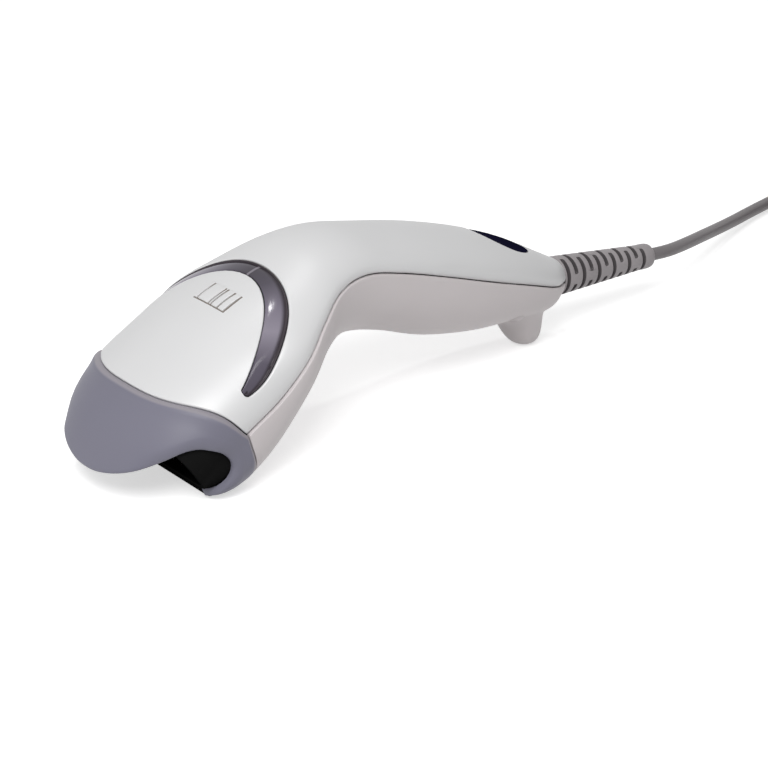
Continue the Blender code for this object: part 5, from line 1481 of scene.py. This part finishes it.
RIM_PLANE = -40.0 * MM
SHROUD_REAR = -30.5 * MM
SHROUD_WALL = 1.5 * MM
SHROUD_INSET = BUMPER_WALL + FIT_GAP
WINDOW_PLANE = -37.6 * MM
WINDOW_THICK = 1.6 * MM
WINDOW_CHAMFER = 0.3 * MM
NOSE_FIRST, NOSE_LAST = -0.3, 4.0
MOUTH_SECTION = 1.6
MOUTH_COLUMNS = 61
CHIN_SECTION = 1.5
CHIN_SAMPLES = 91
CHIN_ROWS = 9


def ring_angles():
    """Angles once round a section, evenly spaced, first and last alike."""
    crown = even_angles(MOUTH_SECTION, 0.0, MOUTH_COLUMNS)
    return crown + even_angles(MOUTH_SECTION, 180.0, MOUTH_COLUMNS)[1:]


def plane_station(plane, degrees, inset=0.0):
    """Station position where the skin at an angle meets a plane of constant y of the head datum."""
    return solve(lambda t: (HEAD_INVERSE @ skin(t, degrees, inset)).y, NOSE_FIRST, NOSE_LAST, plane)


def plane_ring(plane, inset):
    """Ring of the skin cut by a plane of constant y of the head datum."""
    return [skin(plane_station(plane, a, inset), a, inset) for a in ring_angles()]


def shroud_chin():
    """Chin between the bumper's cheeks, flush with the belly."""
    step = FIT_GAP / HEAD_HALF * 90.0
    first, last = 180.0 + CHEEK_ANGLE + step, 360.0 - CHEEK_ANGLE - step
    angles = [a for a in even_angles(CHIN_SECTION, 180.0, CHIN_SAMPLES) if first < a < last]
    rear = SEAM - SEAM_STEP
    columns = []
    for a in (first, *angles, last):
        front = plane_station(RIM_PLANE, a)
        columns.append([skin(front + (rear - front) * share, a) for share in spread(0.0, 1.0, CHIN_ROWS)])
    chin = sheet_piece("chin", list(zip(*columns)), CHIN_INSIDE)
    thicken(chin, SHROUD_INSET + SHROUD_WALL * 0.6)
    return chin


def build_shroud():
    """Black tunnel inside the mouth with the straight chin edge."""
    planes = spread(RIM_PLANE, SHROUD_REAR, 4)
    rows = [plane_ring(plane, SHROUD_INSET) for plane in planes]
    rows += [plane_ring(plane, SHROUD_INSET + SHROUD_WALL) for plane in reversed(planes)]
    rows.append(rows[0])
    shroud = sheet_piece("mouth_shroud", rows, SHROUD_INSIDE)
    cut(shroud, shroud_chin(), "UNION")
    finish_piece(shroud, "black_plastic", ["window_shroud"])


def build_window():
    """Dark glossy plate across the shroud, with a small chamfer."""
    inset = SHROUD_INSET + FIT_GAP + SHROUD_WALL
    rings = [
        plane_ring(WINDOW_PLANE, inset + WINDOW_CHAMFER),
        plane_ring(WINDOW_PLANE + WINDOW_CHAMFER, inset),
        plane_ring(WINDOW_PLANE + WINDOW_THICK, inset),
    ]
    middles = [sum(ring[:-1], Vector()) / (len(ring) - 1) for ring in rings]
    rows = [[middles[0]] * len(rings[0])]
    rows.append([middles[0].lerp(point, 0.5) for point in rings[0]])
    rows += rings
    rows.append([middles[2]] * len(rings[2]))
    window = sheet_piece("scan_window_plate", rows, sum(middles, Vector()) / 3)
    finish_piece(window, "window", ["scan_window"])


# Strain relief, tie and plug

RELIEF_ROWS = 11
RELIEF_FIRST_ROW = 1.3 * MM
RELIEF_ROW_PITCH = 3.4 * MM
RELIEF_SLOT = 1.6 * MM
RELIEF_CORE = 1.6 * MM
RELIEF_COLLAR = 4.0 * MM
SLOT_DEPTH = 8.0 * MM
SLOT_WIDTH = 14.0 * MM
SLOT_CORNER = 0.45 * MM
SLOT_SHADE_DEPTH = 0.3 * MM
RELIEF_EDGE = 0.14 * MM
TIE_CORNER = 1.6 * MM
TIE_EDGE = 0.15 * MM
TIE_HALF = 3.5 * MM
TIE_TURN = math.radians(80)
TIE_SLACK = 0.2 * MM
PLUG_FACE = PLUG_GRIP_SIZE[1] + 0.2 * MM
PLUG_SHELL_HALF = (6.0 * MM, 2.25 * MM)
PLUG_REACH = 18.8 * MM
TONGUE_REACH = 16.9 * MM

# Height along the relief and radius, in millimetres
RELIEF_PROFILE = (
    (-5.8, 0.0), (-5.8, 3.8), (-5.6, 4.0), (-4.4, 4.0), (-4.2, 3.8), (-4.2, 2.9), (0.5, 2.9), (0.5, 5.7),
    (0.7, 6.0), (1.1, 6.1), (6.0, 5.82), (12.0, 5.46), (18.0, 5.09), (24.0, 4.73), (30.0, 4.36),
    (36.0, 3.99), (37.3, 3.91), (37.7, 3.98), (38.2, 4.0), (40.0, 3.92), (40.8, 3.75), (41.3, 3.35),
    (41.5, 2.8), (41.5, 0.0),
)


def slot_cutter(place, height, turn, side):
    """Rounded block that cuts one slot of the relief."""
    middle = (side * (RELIEF_CORE + SLOT_DEPTH / 2), 0, height + RELIEF_SLOT / 2)
    cutter = block("slot", (SLOT_DEPTH, SLOT_WIDTH, RELIEF_SLOT), middle)
    round_edges(cutter, SLOT_CORNER, 3)
    cutter.data.transform(place @ Matrix.Rotation(turn, 4, "Z"))
    return cutter


def relief_radius(height):
    """Outer radius of the relief at a height along it."""
    for (low, first), (high, last) in zip(RELIEF_PROFILE, RELIEF_PROFILE[1:]):
        if low < height / MM <= high:
            return (first + (last - first) * (height / MM - low) / (high - low)) * MM
    return 0.0


def build_relief():
    """Tapered strain relief with staggered slots and a smooth end collar; painted shade darkens the faces
    deep in the slots.
    """
    place = relief_datum()
    profile = [(z * MM, radius * MM) for z, radius in RELIEF_PROFILE]
    relief = turned_piece("slotted_relief", profile, place, 64)
    blocks = []
    for row in range(RELIEF_ROWS):
        height = RELIEF_FIRST_ROW + row * RELIEF_ROW_PITCH
        for side in (1, -1):
            blocks.append(slot_cutter(place, height, math.pi / 2 * (row % 2), side))
    select_only(*blocks)
    bpy.ops.object.join()
    cut(relief, bpy.context.active_object)
    round_edges(relief, RELIEF_EDGE, 2)
    finish_piece(relief, "relief", ["strain_relief"])
    # Faces deep in the slots get the darker slot material: painted shade
    relief.data.materials.append(FINISHES["relief_slot"].material)
    back = place.inverted()
    for face in relief.data.polygons:
        spot = back @ face.center
        deep = relief_radius(spot.z) - math.hypot(spot.x, spot.y) > SLOT_SHADE_DEPTH
        slotted = RELIEF_FIRST_ROW < spot.z < RELIEF_LENGTH - RELIEF_COLLAR
        face.material_index = 1 if deep and slotted else 0
    return relief


def round_box(half_x, half_z, corner, count=6):
    """Closed outline of a box with round corners, x and z, first and last point alike."""
    outline = []
    for number, (sx, sz) in enumerate(((1, 1), (-1, 1), (-1, -1), (1, -1))):
        for angle in spread(number * math.pi / 2, (number + 1) * math.pi / 2, count):
            x = sx * (half_x - corner) + corner * math.cos(angle)
            outline.append((x, sz * (half_z - corner) + corner * math.sin(angle)))
    return outline + outline[:1]


def build_tie():
    """Strap round the coil's turns."""
    place = Matrix.Translation(COIL_CENTRE) @ Matrix.Rotation(TIE_TURN, 4, "Z")
    band = COIL_PITCH * (COIL_TURNS - 0.5) / 2 + CABLE_RADIUS
    low, high = coil_level(0) - CABLE_RADIUS, coil_level(COIL_LAYERS - 1) + CABLE_RADIUS
    grow = FIT_GAP + TIE_SLACK + TIE_THICK
    bottom, top = max(low - grow, 0.0), high + grow
    middle = (bottom + top) / 2
    outline = round_box(band + grow, (top - bottom) / 2, TIE_CORNER, 8)
    rows = []
    for y in spread(-TIE_HALF, TIE_HALF, 6):
        rows.append([place @ Vector((COIL_RADIUS + x, y, middle + z)) for x, z in outline])
    tie = sheet_piece("coil_strap", rows, place @ Vector((COIL_RADIUS, 0, middle)))
    thicken(tie, TIE_THICK)
    round_edges(tie, TIE_EDGE, 2)
    return finish_piece(tie, "tie", ["cable_tie"])


def plug_loft(name, stations, place):
    """Closed loft along the plug's Y through rounded boxes: y, half width, half height, corner."""
    rows = []
    for y, half_x, half_z, corner in stations:
        rows.append([place @ Vector((x, y, z)) for x, z in round_box(half_x, half_z, corner)])
    first, last = stations[0][0], stations[-1][0]
    rear, front, middle = [place @ Vector((0, y, 0)) for y in (first, last, (first + last) / 2)]
    columns = len(rows[0])
    return sheet_piece(name, [[rear] * columns, *rows, [front] * columns], middle)


def build_plug_grip(place):
    """Moulded grip of the plug, with a tapered neck and three grooves across each face."""
    width, length, height = PLUG_GRIP_SIZE
    half_x, half_z = width / 2, height / 2
    neck = 1.6 * CABLE_RADIUS
    stations = (
        (-PLUG_ENTRY, neck * 0.8, neck * 0.8, neck * 0.75), (-PLUG_ENTRY + 0.5 * MM, neck, neck, neck * 0.95),
        (-0.3 * MM, neck * 1.1, neck * 1.1, neck), (0.0, neck * 1.2, neck * 1.15, neck),
        (0.3 * MM, half_x * 0.6, half_z * 0.86, 2.0 * MM), (1.0 * MM, half_x * 0.76, half_z * 0.93, 2.0 * MM),
        (3.0 * MM, half_x * 0.88, half_z * 0.98, 2.0 * MM), (length * 0.25, half_x * 0.95, half_z, 2.0 * MM),
        (length * 0.6, half_x * 0.99, half_z, 2.0 * MM), (length - 0.8 * MM, half_x, half_z, 2.0 * MM),
        (length - 0.2 * MM, half_x * 0.98, half_z * 0.97, 1.9 * MM),
        (length, half_x * 0.94, half_z * 0.92, 1.8 * MM),
    )
    grip_piece = plug_loft("plug_grip_mould", stations, place)
    for y in (9.0 * MM, 11.5 * MM, 14.0 * MM):
        for side in (1, -1):
            low, high = sorted((side * (half_z - 0.35 * MM), side * (half_z + 1 * MM)))
            cut(grip_piece, box_piece("groove", (-4.5 * MM, y, low), (4.5 * MM, y + 1.2 * MM, high), place))
    round_edges(grip_piece, 0.12 * MM, 2)
    return finish_piece(grip_piece, "cable", ["plug_grip"])


def build_plug_shell(place):
    """Folded metal shell of the plug with its latch windows."""
    rows = []
    for y in spread(PLUG_FACE, PLUG_FACE + PLUG_REACH, 6):
        rows.append([place @ Vector((x, y, z)) for x, z in round_box(*PLUG_SHELL_HALF, 0.5 * MM)])
    shell = sheet_piece("plug_shell_folded", rows, place @ Vector((0, PLUG_FACE + PLUG_REACH / 2, 0)))
    thicken(shell, 0.35 * MM)
    for x in (-2.9 * MM, 2.9 * MM):
        corner = (x - 1.25 * MM, PLUG_FACE + 7 * MM, -5 * MM)
        far = (x + 1.25 * MM, PLUG_FACE + 9.3 * MM, 5 * MM)
        cut(shell, box_piece("latch", corner, far, place))
    round_edges(shell, 0.08 * MM, 2)
    return finish_piece(shell, "steel", ["plug_shell"])


def build_plug_tongue(place):
    """Tongue in the plug's shell, with four sunk contact tracks."""
    low = -PLUG_SHELL_HALF[1] + 0.55 * MM
    corner, far = (-5.45 * MM, PLUG_FACE, low), (5.45 * MM, PLUG_FACE + TONGUE_REACH, low + 1.9 * MM)
    tongue = box_piece("plug_tongue_plate", corner, far, place)
    for x in (-3.5 * MM, -1.0 * MM, 1.0 * MM, 3.5 * MM):
        start = (x - 0.5 * MM, PLUG_FACE + 8 * MM, low + 1.75 * MM)
        end = (x + 0.5 * MM, PLUG_FACE + 16 * MM, low + 3 * MM)
        cut(tongue, box_piece("track", start, end, place))
    round_edges(tongue, 0.1 * MM, 2)
    return finish_piece(tongue, "cream", ["plug_tongue"])


# Stage, looks and pieces, in the order in which they are made

bpy.context.scene.view_settings.view_transform = "Standard"
tint_smoke()
tint_bumper()
set_camera()
set_world()
set_floor()
for lamp_facts in LAMPS:
    add_lamp(*lamp_facts)
paint_frame()
cable_piece, cable_exit, cable_length = build_cord()
build_top_shell()
build_badge()
build_lens()
build_press_panel()
build_bumper()
build_bottom_shell()
for screw_facts in SCREW_PLACES:
    build_housing_screw(*screw_facts)
build_shroud()
build_window()
plug_place = plug_datum()
cord_pieces = [
    build_relief(),
    build_tie(),
    build_plug_grip(plug_place),
    build_plug_shell(plug_place),
    build_plug_tongue(plug_place),
]
